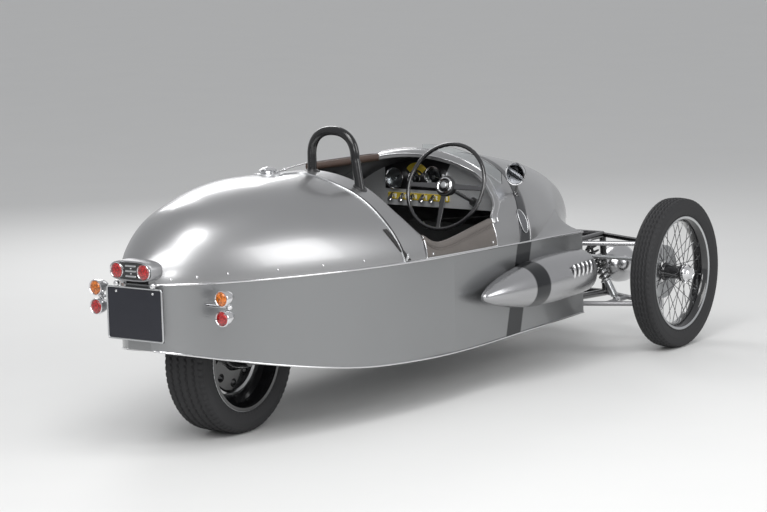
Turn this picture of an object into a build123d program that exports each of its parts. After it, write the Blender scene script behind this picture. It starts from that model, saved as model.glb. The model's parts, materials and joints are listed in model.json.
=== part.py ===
from build123d import *
import os
from functools import cache
from math import atan2, cos, degrees, hypot, pi, radians, sin

# Three wheeled car: boat-tailed body, one driver's seat on the right, two wire wheels in front
# and one wide wheel behind. Millimetres, +Z up, front towards -Y, left-hand side towards +X.
# The origin is on the ground, under the middle of the overall box.

# Overall layout
wheelbase = 2382.0
track = 1485.0
front_tyre_radius = 343.0
front_tyre_width = 105.0
front_rim_radius = 253.5
rear_tyre_radius = 310.5
rear_tyre_width = 195.0
rear_rim_radius = 213.0
rear_overhang = 618.0
running_gap = 6.0
eye_gap = 1.0
seat_gap = 0.3

overall_length = front_tyre_radius + wheelbase + rear_overhang
rear_axle_y = overall_length / 2 - rear_overhang
front_axle_y = rear_axle_y - wheelbase
kingpin_inset = 87.0
kingpin_x = track / 2 - kingpin_inset

# Body shell
body_half_width = 502.0
body_top = 1000.0
tub_front_ahead = 1960.0
tail_end_behind = 560.0
tail_tip_behind = 576.0
taper_start_ahead = 898.0
plan_fullness = 1.93
plan_roundness = 1.77
waist_front_height = 575.0
waist_rise = 111.0
waist_tail_height = waist_front_height + waist_rise
body_wall = 20.0
skin = 6.0
bead = 6.0
tub_floor_low = 212.0
seam_foot_ahead = 562.0
seam_lean = 0.39
deck_front_ahead = 700.0
scuttle_ahead = 1500.0
cut_over = 400.0

tub_front_y = rear_axle_y - tub_front_ahead
tail_end_y = rear_axle_y + tail_end_behind
body_length = tail_end_y - tub_front_y
deck_front_y = rear_axle_y - deck_front_ahead
scuttle_y = rear_axle_y - scuttle_ahead

# Body sections: place along the body from the tub's front edge, floor height, rise of the crown
# above the waist
station_shares = [
    (0.000, 0.208, 0.355),
    (0.180, 0.206, 0.360),
    (0.4214, 0.209, 0.357),
    (0.540, 0.223, 0.355),
    (0.660, 0.248, 0.360),
    (0.760, 0.288, 0.353),
    (0.850, 0.335, 0.309),
    (0.920, 0.377, 0.249),
    (0.968, 0.408, 0.164),
    (1.000, 0.428, 0.080),
]
straight_stations = 3

# Bonnet sections: place along the bonnet from the scuttle, half width, floor height, rise of the
# crown above the waist
nose_tip_ahead = 2560.0
bonnet_length = nose_tip_ahead - scuttle_ahead
bonnet_shares = [
    (0.000, 1.000, 0.300, 0.360),
    (0.236, 0.890, 0.290, 0.352),
    (0.434, 0.755, 0.270, 0.317),
    (0.660, 0.520, 0.280, 0.268),
    (0.849, 0.310, 0.320, 0.199),
    (0.943, 0.190, 0.390, 0.154),
    (1.000, 0.100, 0.470, 0.116),
]
# Flared ledge each side of the bonnet: place along the bonnet, height share
flare_shares = [
    (0.055, 0.16),
    (0.236, 0.62),
    (0.434, 1.00),
]
flare_rise = 96.0
flare_wall = 3.0
flare_hollow = 0.42
bonnet_joint_ahead = 1514.0
bonnet_joint_lean = -0.70
nose_gap = 2.0

# Cockpit
cockpit_left_x = 160.0
scuttle_side_ahead = 1240.0
scuttle_front_ahead = 1390.0
scuttle_front_offset = 40.0
scuttle_side_x = -470.0
cockpit_front_x = 110.0
cockpit_left_front_ahead = 1170.0
cockpit_left_ahead = 950.0
deck_middle_ahead = 616.0
deck_corner_x = -472.0
coaming_width = 42.0
coaming_thickness = 16.0
pad_thickness = 26.0
pad_front_rise = 120.0
pad_rear_rise = 100.0
pad_low_rise = 56.0
pad_low_ahead = 790.0
pad_dip_rise = 8.0
seat_base_height = 226.0
cushion_thickness = 150.0
cushion_front_ahead = 1140.0
cushion_back_ahead = 800.0
cushion_half_width = 200.0
driver_x = -240.0
back_thickness = 80.0
back_height = 520.0
back_lean = 5.0
back_foot = 30.0

screen_rise = 44.0
screen_thickness = 4.0
screen_outer_x = -370.0
screen_inner_x = 40.0

# Dash
dash_ahead = 1500.0
dash_thickness = 14.0
dash_low = 720.0
dash_drop = 52.0
gauge_depth = 34.0
# Gauges: place across the car, height, radius
gauges = [
    (173.0, 844.0, 49.0),
    (67.0, 846.0, 35.0),
    (-36.0, 861.0, 48.0),
]
switch_count = 6
switch_first_x = 198.0
switch_last_x = -76.0
switch_height = 762.0
switch_radius = 9.0
switch_length = 34.0

# Steering
steering_wheel_radius = 200.0
steering_rim_radius = 11.0
steering_hub_ahead = 1250.0
steering_hub_height = 853.0
column_slope = 23.5
column_radius = 19.0
shaft_radius = 9.0
shaft_clearance = 0.6
hub_radius = 34.0
hub_depth = 38.0
spoke_width = 26.0
spoke_thickness = 5.0
rack_ahead = 2272.0
rack_height = 410.0
rack_radius = 11.0
rack_housing_radius = 24.0
rack_housing_half = 262.0
arm_length = 110.0
tie_rod_radius = 9.0

# Front suspension
frame_x = 278.0
frame_tube_radius = 16.0
wishbone_radius = 11.0
upper_pivot_height = 470.0
lower_pivot_height = 190.0
upper_pivot_spread = 150.0
lower_pivot_spread = 170.0
ball_radius = 17.0
upright_radius = 15.0
stub_radius = 14.0
damper_foot_x = 436.0
damper_head_x = 284.0
damper_head_height = 460.0
damper_radius = 16.0
spring_radius = 30.0
spring_wire = 4.5
spring_turns = 6

# Front wheel
rim_depth = 22.0
rim_width = 84.0
wheel_hub_radius = 34.0
wheel_hub_half = 52.0
spoke_radius = 2.0
spoke_pairs = 20
spinner_reach = 46.0
disc_radius = 120.0
disc_thickness = 9.0
disc_inset = 28.0
front_tread_share = 0.52
tyre_widest_share = 0.56
rim_lip = 4.0
hub_flange = 8.0
hub_bore_gap = 1.0
spoke_lean = 1.6

# Rear wheel and arm
rear_hub_radius = 62.0
rear_rim_width = 178.0
rear_tread_share = 0.74
rear_rim_thickness = 20.0
rear_lip = 7.0
rear_hub_end = 12.0
rear_web_rise = 30.0
rear_hole_count = 8
rear_hole_radius = 18.0
rear_axle_radius = 11.0
arm_half_gap = 118.0
arm_plate = 14.0
arm_height = 56.0
arm_pivot_ahead = 430.0
arm_pivot_height = 308.0
wheelhouse_half_width = 160.0
wheelhouse_margin = 62.0

# Lamps, plate, mirrors, hoop and pods
amber_height = 631.0
red_height = 555.0
rear_lamp_x = 313.0
rear_lamp_behind = 439.0
rear_lamp_radius = 31.0
rear_lamp_length = 78.0
plate_width = 272.0
plate_low = 469.0
plate_high = 675.0
plate_behind = 580.0
plate_thickness = 6.0
stop_lamp_height = 742.0
stop_lamp_x = 67.0
stop_lamp_radius = 24.0
stop_housing_half = 118.0
stop_housing_height = 82.0
mirror_radius = 50.0
mirror_x = 420.0
mirror_ahead = 1530.0
mirror_height = 884.0
hoop_tube_radius = 19.0
hoop_inner_x = 14.0
hoop_outer_x = 262.0
hoop_ahead = 610.0
hoop_top = 1168.0
filler_ahead = 298.0
filler_radius = 38.0
filler_height = 28.0
pod_x = 562.0
pod_radius = 104.0
pod_height = 424.0
pod_front_ahead = 1830.0
pod_tip_ahead = 1020.0
pod_wall = 5.0
pod_tip_radius = 5.0
louvre_count = 5
louvre_first = 34.0
louvre_pitch = 22.0
louvre_height = 46.0
headlamp_x = 278.0
headlamp_ahead = 2635.0
headlamp_height = 312.0
headlamp_radius = 90.0
headlamp_length = 120.0

# Heavy masses
battery_half_width = 220.0
battery_length = 300.0
battery_height = 280.0
motor_half_width = 150.0
motor_length = 150.0
motor_ahead = 560.0
motor_height = 210.0
bracket_half = 26.0
bracket_x = 84.0
bracket_thickness = 16.0


def ahead(distance):
    """The y of a place the given distance in front of the rear axle."""
    return rear_axle_y - distance


def waist(y):
    """The height of the straight joint between the tub and the upper panels."""
    slope = (waist_tail_height - waist_front_height) / (tail_tip_behind + tub_front_ahead)
    return waist_front_height + slope * (y - tub_front_y)


def half_width(y):
    """The plan of the boat tail: a superellipse behind the cockpit, parallel in front of it."""
    start = ahead(taper_start_ahead)
    share = max(0.0, (y - start) / (rear_axle_y + tail_tip_behind - start))
    return body_half_width * (1 - share ** plan_fullness) ** (1 / plan_roundness)


def arch_points(half, spring, crown):
    """Joint and middle points of a three-centred arch over a half width, as x and z."""
    rise = crown - spring
    diagonal = hypot(half, rise)
    spare = (diagonal - (half - rise)) / 2
    small = spare * diagonal / half
    centre = half - small
    turn = atan2(half, rise)
    joint = (centre + small * rise / diagonal, spring + small * half / diagonal)
    middle = (centre + small * cos(turn / 2), spring + small * sin(turn / 2))
    return joint, middle


def section(y, half, floor, crown, outset=0.0):
    """One closed body section: flat floor, upright sides to the waist, arched top."""
    wide = half + outset
    low = floor - outset
    spring = waist(y)
    top = crown + outset
    joint, middle = arch_points(wide, spring, top)
    edges = [
        Line((-wide, y, low), (wide, y, low)),
        Line((wide, y, low), (wide, y, spring)),
        ThreePointArc((wide, y, spring), (middle[0], y, middle[1]), (joint[0], y, joint[1])),
        ThreePointArc((joint[0], y, joint[1]), (0, y, top), (-joint[0], y, joint[1])),
        ThreePointArc((-joint[0], y, joint[1]), (-middle[0], y, middle[1]), (-wide, y, spring)),
        Line((-wide, y, spring), (-wide, y, low)),
    ]
    return Wire(edges)


@cache
def body_blank(outset=0.0):
    """The whole body's outside, or a like shape inside or outside it by the outset."""
    wires = []
    for along, floor, rise in station_shares:
        y = tub_front_y + along * body_length
        crown = waist(y) + rise * body_top
        wires.append(section(y, half_width(y), floor * body_top, crown, outset))
    straight = Solid.make_loft(wires[:straight_stations], ruled=True)
    return straight + Solid.make_loft(wires[straight_stations - 1:])


@cache
def bonnet_blank(outset=0.0):
    """The bonnet's and nose's outside, from the scuttle forward."""
    wires = []
    for along, half, floor, rise in bonnet_shares:
        y = scuttle_y - along * bonnet_length
        crown = waist(y) + rise * body_top
        wires.append(section(y, half * body_half_width, floor * body_top, crown, outset))
    return Solid.make_loft(wires)


def slab(y_low, y_high, z_low, z_high, x_low=-body_top, x_high=body_top):
    """A plain cutting block."""
    size = (x_high - x_low, y_high - y_low, z_high - z_low)
    centre = ((x_low + x_high) / 2, (y_low + y_high) / 2, (z_low + z_high) / 2)
    return Pos(*centre) * Box(*size)


def waist_block(side, offset=0.0):
    """Everything above (side 1) or below (side -1) the waist joint, moved up by the offset."""
    y_back = tub_front_y - body_length
    y_tail = tail_end_y + cut_over
    far = side * body_top * 2
    points = [
        (y_back, waist(y_back) + offset),
        (y_tail, waist(y_tail) + offset),
        (y_tail, waist(y_tail) + far),
        (y_back, waist(y_back) + far),
    ]
    face = make_face(Polyline([(0, y, z) for y, z in points], close=True))
    return extrude(face, body_top * 2, dir=(1, 0, 0), both=True)


def leaning_block(foot_y, lean, side):
    """Everything behind (side 1) or ahead (side -1) of a plane that leans from its foot on the waist."""
    foot_z = waist(foot_y)
    far = side * body_length * 2
    low, high = -cut_over, body_top
    points = [
        (foot_y + lean * low, foot_z + low),
        (foot_y + lean * high, foot_z + high),
        (foot_y + lean * high + far, foot_z + high),
        (foot_y + lean * low + far, foot_z + low),
    ]
    face = make_face(Polyline([(0, y, z) for y, z in points], close=True))
    return extrude(face, body_top * 2, dir=(1, 0, 0), both=True)


def rod(start, end, radius):
    """A round bar from point to point."""
    path = Vector(*end) - Vector(*start)
    return Plane(origin=start, z_dir=path) * Cylinder(
        radius, path.length, align=(Align.CENTER, Align.CENTER, Align.MIN)
    )


def turned(points, origin, axis):
    """A solid of revolution: radius and distance pairs about an axis through the origin."""
    outline = make_face(Polyline([(radius, 0, along) for radius, along in points], close=True))
    solid = revolve(outline, Axis.Z)
    return Plane(origin=origin, z_dir=axis) * solid


def both_sides(piece):
    """The piece and its mirror image across the car's middle."""
    return piece, mirror(piece, Plane.YZ)


deck_bend = (deck_corner_x + 52.0, ahead(650.0))
scuttle_bend_right = (-400.0, ahead(1345.0))
scuttle_bend_left = (-60.0, ahead(1330.0))

parts = {}


def make_tub():
    """Lower body: floor, sides and end walls, with the rear wheel's opening in the floor."""
    outer = body_blank() & waist_block(-1)
    inner = body_blank(-body_wall) & slab(
        tub_front_y + body_wall, tail_end_y - body_wall, 0, body_top * 2
    )
    tub = outer - inner
    reach = rear_tyre_radius + wheelhouse_margin
    tub -= slab(
        rear_axle_y - reach, rear_axle_y + reach, 0, rear_tyre_radius * 2,
        -wheelhouse_half_width, wheelhouse_half_width,
    )
    tub -= rod(column_point(tub_front_ahead + cut_over), column_point(tub_front_ahead - cut_over),
               column_radius + seat_gap)
    pivot_y = ahead(arm_pivot_ahead)
    for side in (-1, 1):
        x = side * bracket_x
        lug = slab(pivot_y - bracket_half, pivot_y + bracket_half, tub_floor_low, arm_pivot_height + bracket_half,
                   x - bracket_thickness / 2, x + bracket_thickness / 2)
        lug -= rod((x - bracket_thickness, pivot_y, arm_pivot_height),
                   (x + bracket_thickness, pivot_y, arm_pivot_height), frame_tube_radius + seat_gap)
        tub += lug & body_blank(-body_wall / 2)
    return tub


def upper_shell(y_low, y_high):
    """A stretch of the upper body's panel between two stations, open below."""
    outer = body_blank() & slab(y_low, y_high, 0, body_top * 2)
    return (outer & waist_block(1)) - body_blank(-skin)


def bonnet_shell():
    """The whole panel above the waist ahead of the scuttle, open below."""
    return (bonnet_blank() & waist_block(1)) - bonnet_blank(-skin)


def cockpit_outline():
    """The driver's opening seen from above: egg-shaped inside, open to the right-hand side."""
    side_y = ahead(scuttle_side_ahead)
    edge = -body_half_width - cut_over
    deck_corner = (deck_corner_x, deck_front_y)
    side_corner = (scuttle_side_x, side_y)
    front = (driver_x - scuttle_front_offset, ahead(scuttle_front_ahead))
    inner = (cockpit_front_x, ahead(cockpit_left_front_ahead))
    left_rear = (cockpit_left_x, ahead(deck_middle_ahead))
    left_front = (cockpit_left_x, ahead(cockpit_left_ahead))
    return make_face([
        Line(left_rear, (driver_x, ahead(deck_middle_ahead))),
        ThreePointArc((driver_x, ahead(deck_middle_ahead)), deck_bend, deck_corner),
        Line(deck_corner, (edge, deck_front_y)),
        Line((edge, deck_front_y), (edge, side_y)),
        Line((edge, side_y), side_corner),
        ThreePointArc(side_corner, scuttle_bend_right, front),
        ThreePointArc(front, scuttle_bend_left, inner),
        Line(inner, left_front),
        Line(left_front, left_rear),
    ])


def cockpit_cut():
    """The driver's opening, cut down through the upper panels on the right."""
    return extrude(cockpit_outline(), body_top * 2)


def make_tail_shell():
    """Rear cover from the leaning seam to the tail's end."""
    shell = upper_shell(deck_front_y, tail_end_y) & leaning_block(ahead(seam_foot_ahead) + seat_gap, seam_lean, 1)
    cap = body_blank() & waist_block(1) & slab(tail_end_y - skin, tail_end_y, 0, body_top * 2)
    return shell + cap


def make_rear_deck():
    """The fixed hoop of panel between the seat and the tail's seam."""
    deck = upper_shell(deck_front_y, tail_end_y) & leaning_block(ahead(seam_foot_ahead), seam_lean, -1)
    return deck - cockpit_cut()


def make_tonneau():
    """The panel that closes the passenger's side."""
    panel = upper_shell(scuttle_y + seat_gap, deck_front_y - seat_gap)
    return panel & slab(scuttle_y, deck_front_y, 0, body_top * 2, cockpit_left_x, body_top)


def make_scuttle():
    """The panel round the front of the cockpit, with its padded rim and the band ahead of it."""
    panel = upper_shell(scuttle_y, deck_front_y - seat_gap)
    right = slab(scuttle_y, deck_front_y, 0, body_top * 2, -body_top, cockpit_left_x - seat_gap)
    panel = panel & right
    band = bonnet_shell() & leaning_block(ahead(bonnet_joint_ahead), bonnet_joint_lean, 1)
    band = band - slab(scuttle_y - seat_gap, scuttle_y + skin, 0, body_top * 2)
    rim_outline = offset(cockpit_outline(), amount=coaming_width)
    rim = extrude(rim_outline, body_top * 2) & (body_blank() - body_blank(-coaming_thickness))
    rim = rim & waist_block(1) & slab(scuttle_y, ahead(cockpit_left_ahead), 0, body_top * 2) & right
    rear = panel + rim - cockpit_cut()
    return Compound(children=[*rear.solids(), *band.solids()])


def flare_section(along, share, side):
    """One section of the flared ledge: a thin hollow curve from the tub's edge up the bonnet."""
    y = scuttle_y - along * bonnet_length
    _, half_share, _, rise_share = bonnet_row(along)
    half = half_share * body_half_width
    rise = rise_share * body_top
    height = flare_rise * share
    foot = waist(y)
    inner_x = half * (1 - (height / rise) ** 2) ** 0.5 - flare_wall / 2
    edge = body_half_width - seat_gap
    outer = (edge, foot + flare_wall)
    inner = (inner_x, foot + height)
    chord = ((outer[0] + inner[0]) / 2, (outer[1] + inner[1]) / 2)
    dip = (chord[0] + flare_hollow * (inner_x - chord[0]), chord[1] + flare_hollow * (outer[1] - chord[1]))
    under = flare_wall * share

    def at(x, z):
        return (side * x, y, z)

    return Wire([
        Line(at(edge, foot), at(*outer)),
        ThreePointArc(at(*outer), at(*dip), at(*inner)),
        Line(at(*inner), at(inner_x - under, foot + height - under)),
        ThreePointArc(at(inner_x - under, foot + height - under), at(dip[0] - under, dip[1] - under),
                      at(body_half_width - flare_wall * 2, foot)),
        Line(at(body_half_width - flare_wall * 2, foot), at(edge, foot)),
    ])


def bonnet_row(along):
    """The bonnet's section table, read between its rows."""
    for here, there in zip(bonnet_shares, bonnet_shares[1:]):
        if here[0] <= along <= there[0]:
            share = (along - here[0]) / (there[0] - here[0])
            return tuple(a + share * (b - a) for a, b in zip(here, there))
    return bonnet_shares[-1]


def make_bonnet():
    """Bonnet above the waist, with a flared ledge each side out to the tub's width."""
    shell = bonnet_shell() & leaning_block(ahead(bonnet_joint_ahead) - seat_gap, bonnet_joint_lean, -1)
    for side in (-1, 1):
        wires = [flare_section(along, share, side) for along, share in flare_shares]
        shell += Solid.make_loft(wires, ruled=True) - bonnet_blank(-skin)
    return shell


def make_nose_cowl():
    """The nose below the waist, ahead of the tub."""
    outer = bonnet_blank() & waist_block(-1, -seat_gap)
    outer = outer & slab(scuttle_y - bonnet_length, tub_front_y - nose_gap, 0, body_top * 2)
    cowl = outer - bonnet_blank(-skin)
    for spread in (-upper_pivot_spread, upper_pivot_spread):
        y = front_axle_y + spread
        cowl -= rod((-frame_x, y, upper_pivot_height), (frame_x, y, upper_pivot_height),
                    frame_tube_radius + seat_gap)
    rack_y = ahead(rack_ahead)
    cowl -= rod((-frame_x, rack_y, rack_height), (frame_x, rack_y, rack_height),
                rack_housing_radius + seat_gap)
    cowl -= rod(column_point(tub_front_ahead), column_point(rack_ahead), shaft_radius + running_gap)
    return cowl


def make_beads():
    """Bright strips along the waist joint and round the tub's foot."""
    ring = body_blank(bead) - body_blank()
    ring = ring & slab(tub_front_y, tail_end_y, 0, body_top * 2)
    upper = ring & waist_block(1, -bead) & waist_block(-1, bead)
    foot = []
    inside = []
    for along, floor, crown in station_shares:
        y = tub_front_y + along * body_length
        low = floor * body_top
        for wires, outset in ((foot, bead), (inside, -bead * 2)):
            wide = half_width(y) + outset
            corners = [(-wide, y, low - bead), (wide, y, low - bead), (wide, y, low + bead),
                       (-wide, y, low + bead)]
            wires.append(Wire.make_polygon(corners, close=True))
    lower = Solid.make_loft(foot) - Solid.make_loft(inside) - body_blank()
    return Compound(children=[*upper.solids(), *lower.solids()])


def column_point(distance):
    """A point of the steering column's line, the given distance ahead of the rear axle."""
    run = distance - steering_hub_ahead
    return (driver_x, ahead(distance), steering_hub_height - run * sin(radians(column_slope))
            / cos(radians(column_slope)))


column_axis = (0.0, cos(radians(column_slope)), sin(radians(column_slope)))


def make_dash():
    """Flat dash panel across the car under the scuttle."""
    y = ahead(dash_ahead)
    plate = body_blank(-body_wall - seat_gap) & slab(y, y + dash_thickness, dash_low, body_top * 2)
    plate = plate - waist_block(1, body_top - waist_front_height - dash_drop)
    plate -= rod(column_point(dash_ahead + cut_over), column_point(dash_ahead - cut_over),
                 column_radius + seat_gap)
    return plate


def make_gauges():
    """Three round dials in bright cups, with a row of switches below them."""
    y = ahead(dash_ahead) + dash_thickness
    pieces = []
    for x, height, radius in gauges:
        ring = radius - bead
        cup = turned([(0, 0), (radius, 0), (radius, gauge_depth - bead), (ring, gauge_depth),
                      (ring - bead / 2, gauge_depth - bead), (0, gauge_depth - bead)],
                     (x, y, height), (0, 1, 0))
        pieces.append(cup)
    step = (switch_last_x - switch_first_x) / (switch_count - 1)
    for place in range(switch_count):
        x = switch_first_x + step * place
        pieces.append(turned([(0, 0), (switch_radius, 0), (switch_radius, bead),
                              (switch_radius / 2, bead), (switch_radius / 2, switch_length), (0, switch_length)],
                             (x, y, switch_height), (0, 1, 0)))
    return Compound(children=pieces)


def make_column():
    """Fixed column tube from the dash to the tub's front wall."""
    tube = rod(column_point(tub_front_ahead + body_wall), column_point(dash_ahead - hub_depth), column_radius)
    return tube - rod(column_point(tub_front_ahead + cut_over), column_point(steering_hub_ahead),
                      shaft_radius + shaft_clearance)


def make_steering_wheel():
    """Thin rim, three flat spokes and boss, with the shaft that runs down the column."""
    hub = column_point(steering_hub_ahead)
    place = Plane(origin=hub, x_dir=(1, 0, 0), z_dir=column_axis)
    wheel = Torus(steering_wheel_radius - steering_rim_radius, steering_rim_radius)
    boss_back = Pos(0, 0, -hub_depth / 2) * Cylinder(hub_radius, hub_depth)
    spokes = [Pos((steering_wheel_radius - steering_rim_radius) / 2, 0, 0)
              * Box(steering_wheel_radius - steering_rim_radius, spoke_width, spoke_thickness)]
    wheel = wheel + boss_back
    for turn in (0, 180, 270):
        wheel += Rot(0, 0, turn) * spokes[0]
    end = column_point(rack_ahead - rack_housing_radius * 2)
    shaft = rod(column_point(steering_hub_ahead + hub_depth / 2), end, shaft_radius)
    return place * wheel + shaft


def make_elbow_pad():
    """Padded leather panel that closes the cut-down beside the driver, dished along its top."""
    back = deck_front_y - seat_gap
    front = ahead(scuttle_side_ahead) + seat_gap
    dip = ahead(pad_low_ahead)
    bend = (back + dip) / 2
    foot = bead + seat_gap
    top_front = (0, front, waist(front) + pad_front_rise)
    top_back = (0, back, waist(back) + pad_rear_rise)
    top_low = (0, dip, waist(dip) + pad_low_rise)
    outline = make_face([
        Line((0, back, waist(back) + foot), (0, front, waist(front) + foot)),
        Line((0, front, waist(front) + foot), top_front),
        Line(top_front, top_low),
        ThreePointArc(top_low, (0, bend, waist(bend) + pad_low_rise + pad_dip_rise), top_back),
        Line(top_back, (0, back, waist(back) + foot)),
    ])
    panel = extrude(outline, -body_top, dir=(1, 0, 0))
    return (panel & body_blank(bead)) - body_blank(bead - pad_thickness)


def make_cushion():
    """Seat cushion."""
    length = cushion_front_ahead - cushion_back_ahead
    centre_y = (ahead(cushion_front_ahead) + ahead(cushion_back_ahead)) / 2
    block = Box(cushion_half_width * 2, length, cushion_thickness)
    block = fillet(block.edges().filter_by(Axis.Z), cushion_thickness / 4)
    block = fillet(block.faces().sort_by(Axis.Z)[-1].edges(), cushion_thickness / 5)
    cushion = Pos(driver_x, centre_y, seat_base_height + cushion_thickness / 2) * block
    return cushion & body_blank(-body_wall - seat_gap)


def make_seat_back():
    """Seat back, upright behind the cushion and leaning a little to the rear."""
    block = Box(cushion_half_width * 2, back_thickness, back_height, align=(Align.CENTER, Align.MIN, Align.MIN))
    top_corners = block.edges().filter_by(Axis.Y).sort_by(Axis.Z)[-2:]
    block = fillet(top_corners, back_thickness)
    block = fillet(block.faces().sort_by(Axis.Z)[-1].edges(), back_thickness / 4)
    lean = Rot(-back_lean, 0, 0) * block
    return Pos(driver_x, ahead(cushion_back_ahead) + seat_gap, seat_base_height + back_foot) * lean


def make_hoop():
    """Roll hoop behind the driver: one bent tube."""
    y = ahead(hoop_ahead)
    half = (hoop_outer_x - hoop_inner_x) / 2
    centre_x = -(hoop_outer_x + hoop_inner_x) / 2
    spring = hoop_top - hoop_tube_radius - half
    foot = waist(y)
    left = (centre_x + half, y, foot)
    right = (centre_x - half, y, foot)
    path = Wire([
        Line(left, (centre_x + half, y, spring)),
        ThreePointArc((centre_x + half, y, spring), (centre_x, y, spring + half), (centre_x - half, y, spring)),
        Line((centre_x - half, y, spring), right),
    ])
    return sweep(Plane(origin=left, z_dir=(0, 0, 1)) * Circle(hoop_tube_radius), path=path)


def hoop_holes():
    """Clearance for the hoop's legs through the deck."""
    y = ahead(hoop_ahead)
    cuts = []
    for x in (-hoop_inner_x, -hoop_outer_x):
        cuts.append(rod((x, y, waist(y)), (x, y, body_top * 2), hoop_tube_radius + seat_gap))
    return cuts


def make_filler():
    """Bright cap on a collar, on the tail's crown just behind the seam."""
    y = ahead(filler_ahead)
    base = crown_height(y)
    collar = filler_height / 3
    cap = turned([(0, -collar), (filler_radius, -collar), (filler_radius, collar), (filler_radius * 0.8, collar),
                  (filler_radius * 0.9, filler_height * 0.7), (filler_radius * 0.6, filler_height),
                  (0, filler_height)],
                 (0, y, base), (0, 0, 1))
    return cap - body_blank(seat_gap)


def crown_height(y):
    """The height of the body's top on its middle line, read from the section table."""
    along = (y - tub_front_y) / body_length
    for here, there in zip(station_shares, station_shares[1:]):
        if here[0] <= along <= there[0]:
            share = (along - here[0]) / (there[0] - here[0])
            return waist(y) + (here[2] + share * (there[2] - here[2])) * body_top
    return waist(y) + station_shares[0][2] * body_top


def make_pod():
    """Bullet-shaped side pod: hollow at its front, slotted outside, pointed behind."""
    length = pod_front_ahead - pod_tip_ahead
    widest = length * 0.2
    lip = pod_radius * 0.88
    inner = lip - pod_wall
    outline = make_face([
        Line((0, 0, widest), (inner, 0, widest)),
        Line((inner, 0, widest), (inner, 0, 0)),
        Line((inner, 0, 0), (lip, 0, 0)),
        ThreePointArc((lip, 0, 0), (pod_radius * 0.97, 0, widest * 0.45), (pod_radius, 0, widest)),
        ThreePointArc((pod_radius, 0, widest), (pod_radius * 0.72, 0, length * 0.66), (pod_tip_radius, 0, length)),
        Line((pod_tip_radius, 0, length), (0, 0, length)),
        Line((0, 0, length), (0, 0, widest)),
    ])
    pod = revolve(outline, Axis.Z)
    pod = Plane(origin=(-pod_x, ahead(pod_front_ahead), pod_height), x_dir=(1, 0, 0), z_dir=(0, 1, 0)) * pod
    for slot in range(louvre_count):
        y = ahead(pod_front_ahead) + louvre_first + louvre_pitch * slot
        pod -= slab(y, y + louvre_pitch / 2, pod_height - louvre_height / 2, pod_height + louvre_height / 2,
                    -pod_x - pod_radius * 2, -pod_x)
    return pod - slab(tub_front_y, tail_end_y, 0, body_top, -body_half_width - seat_gap, 0)


def make_headlamp():
    """Bowl lamp on a short stem from the frame's front post."""
    r = headlamp_radius
    bowl = make_face([
        Line((0, 0, 0), (r * 0.94, 0, 0)),
        Line((r * 0.94, 0, 0), (r, 0, bead)),
        Line((r, 0, bead), (r, 0, bead * 3)),
        ThreePointArc((r, 0, bead * 3), (r * 0.76, 0, headlamp_length * 0.66), (0, 0, headlamp_length)),
        Line((0, 0, headlamp_length), (0, 0, 0)),
    ])
    front_y = ahead(headlamp_ahead) - headlamp_length / 2
    lamp = Plane(origin=(-headlamp_x, front_y, headlamp_height), x_dir=(1, 0, 0), z_dir=(0, 1, 0)) * revolve(bowl, Axis.Z)
    post_y = front_axle_y - upper_pivot_spread
    lamp += rod((-headlamp_x, front_y + headlamp_length / 2, headlamp_height),
                (-headlamp_x, post_y, headlamp_height), wishbone_radius)
    return lamp - make_front_frame(seat_gap)


@cache
def make_front_frame(outset=0.0):
    """Tubular frame ahead of the tub that carries the wishbones."""
    radius = frame_tube_radius + outset
    pieces = []
    for spread, height in ((upper_pivot_spread, upper_pivot_height), (lower_pivot_spread, lower_pivot_height)):
        for side in (-1, 1):
            y = front_axle_y + side * spread
            pieces.append(rod((-frame_x, y, height), (frame_x, y, height), radius))
    for x in (-frame_x, frame_x):
        for side in (-1, 1):
            pieces.append(rod((x, front_axle_y + side * lower_pivot_spread, lower_pivot_height),
                              (x, front_axle_y + side * upper_pivot_spread, upper_pivot_height), radius))
        pieces.append(rod((x, front_axle_y - upper_pivot_spread, upper_pivot_height),
                          (x, front_axle_y + upper_pivot_spread, upper_pivot_height), radius))
        pieces.append(rod((x, front_axle_y - lower_pivot_spread, lower_pivot_height),
                          (x, tub_front_y, lower_pivot_height + body_wall * 2), radius))
    frame = pieces[0]
    for piece in pieces[1:]:
        frame += piece
    return frame - slab(tub_front_y - seat_gap, tub_front_y + cut_over, 0, body_top)


def make_wishbone(height, spread, bridged):
    """Two tubes from the frame's pivots to one ball joint, bridged by a bar under the damper."""
    ball = (-kingpin_x, front_axle_y, height)
    piece = Pos(*ball) * Cylinder(ball_radius, ball_radius * 2)
    for side in (-1, 1):
        piece += rod((-frame_x, front_axle_y + side * spread, height), ball, wishbone_radius)
    if bridged:
        reach = spread * (kingpin_x - damper_foot_x) / (kingpin_x - frame_x)
        piece += rod((-damper_foot_x, front_axle_y - reach, height), (-damper_foot_x, front_axle_y + reach, height),
                     wishbone_radius)
    return piece - make_front_frame(seat_gap)


def make_damper():
    """Coil spring over a damper: the coils are ripples of one sleeve."""
    foot = Vector(-damper_foot_x, front_axle_y, lower_pivot_height)
    head = Vector(-damper_head_x, front_axle_y, damper_head_height)
    length = (head - foot).length
    start = length * 0.32
    pitch = (length * 0.94 - start) / spring_turns
    outline = [(0, 0), (damper_radius / 2, 0), (damper_radius, bead), (damper_radius, start)]
    for turn in range(spring_turns):
        low = start + turn * pitch
        outline += [(spring_radius - spring_wire * 2, low), (spring_radius, low + pitch * 0.3),
                    (spring_radius, low + pitch * 0.55), (spring_radius - spring_wire * 2, low + pitch * 0.85)]
    outline += [(damper_radius, length * 0.94), (damper_radius / 2, length), (0, length)]
    damper = turned(outline, tuple(foot), tuple(head - foot)) - make_front_frame(seat_gap)
    return damper - rod((-damper_foot_x, front_axle_y - spring_radius * 2, lower_pivot_height),
                        (-damper_foot_x, front_axle_y + spring_radius * 2, lower_pivot_height),
                        wishbone_radius + seat_gap)


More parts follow.
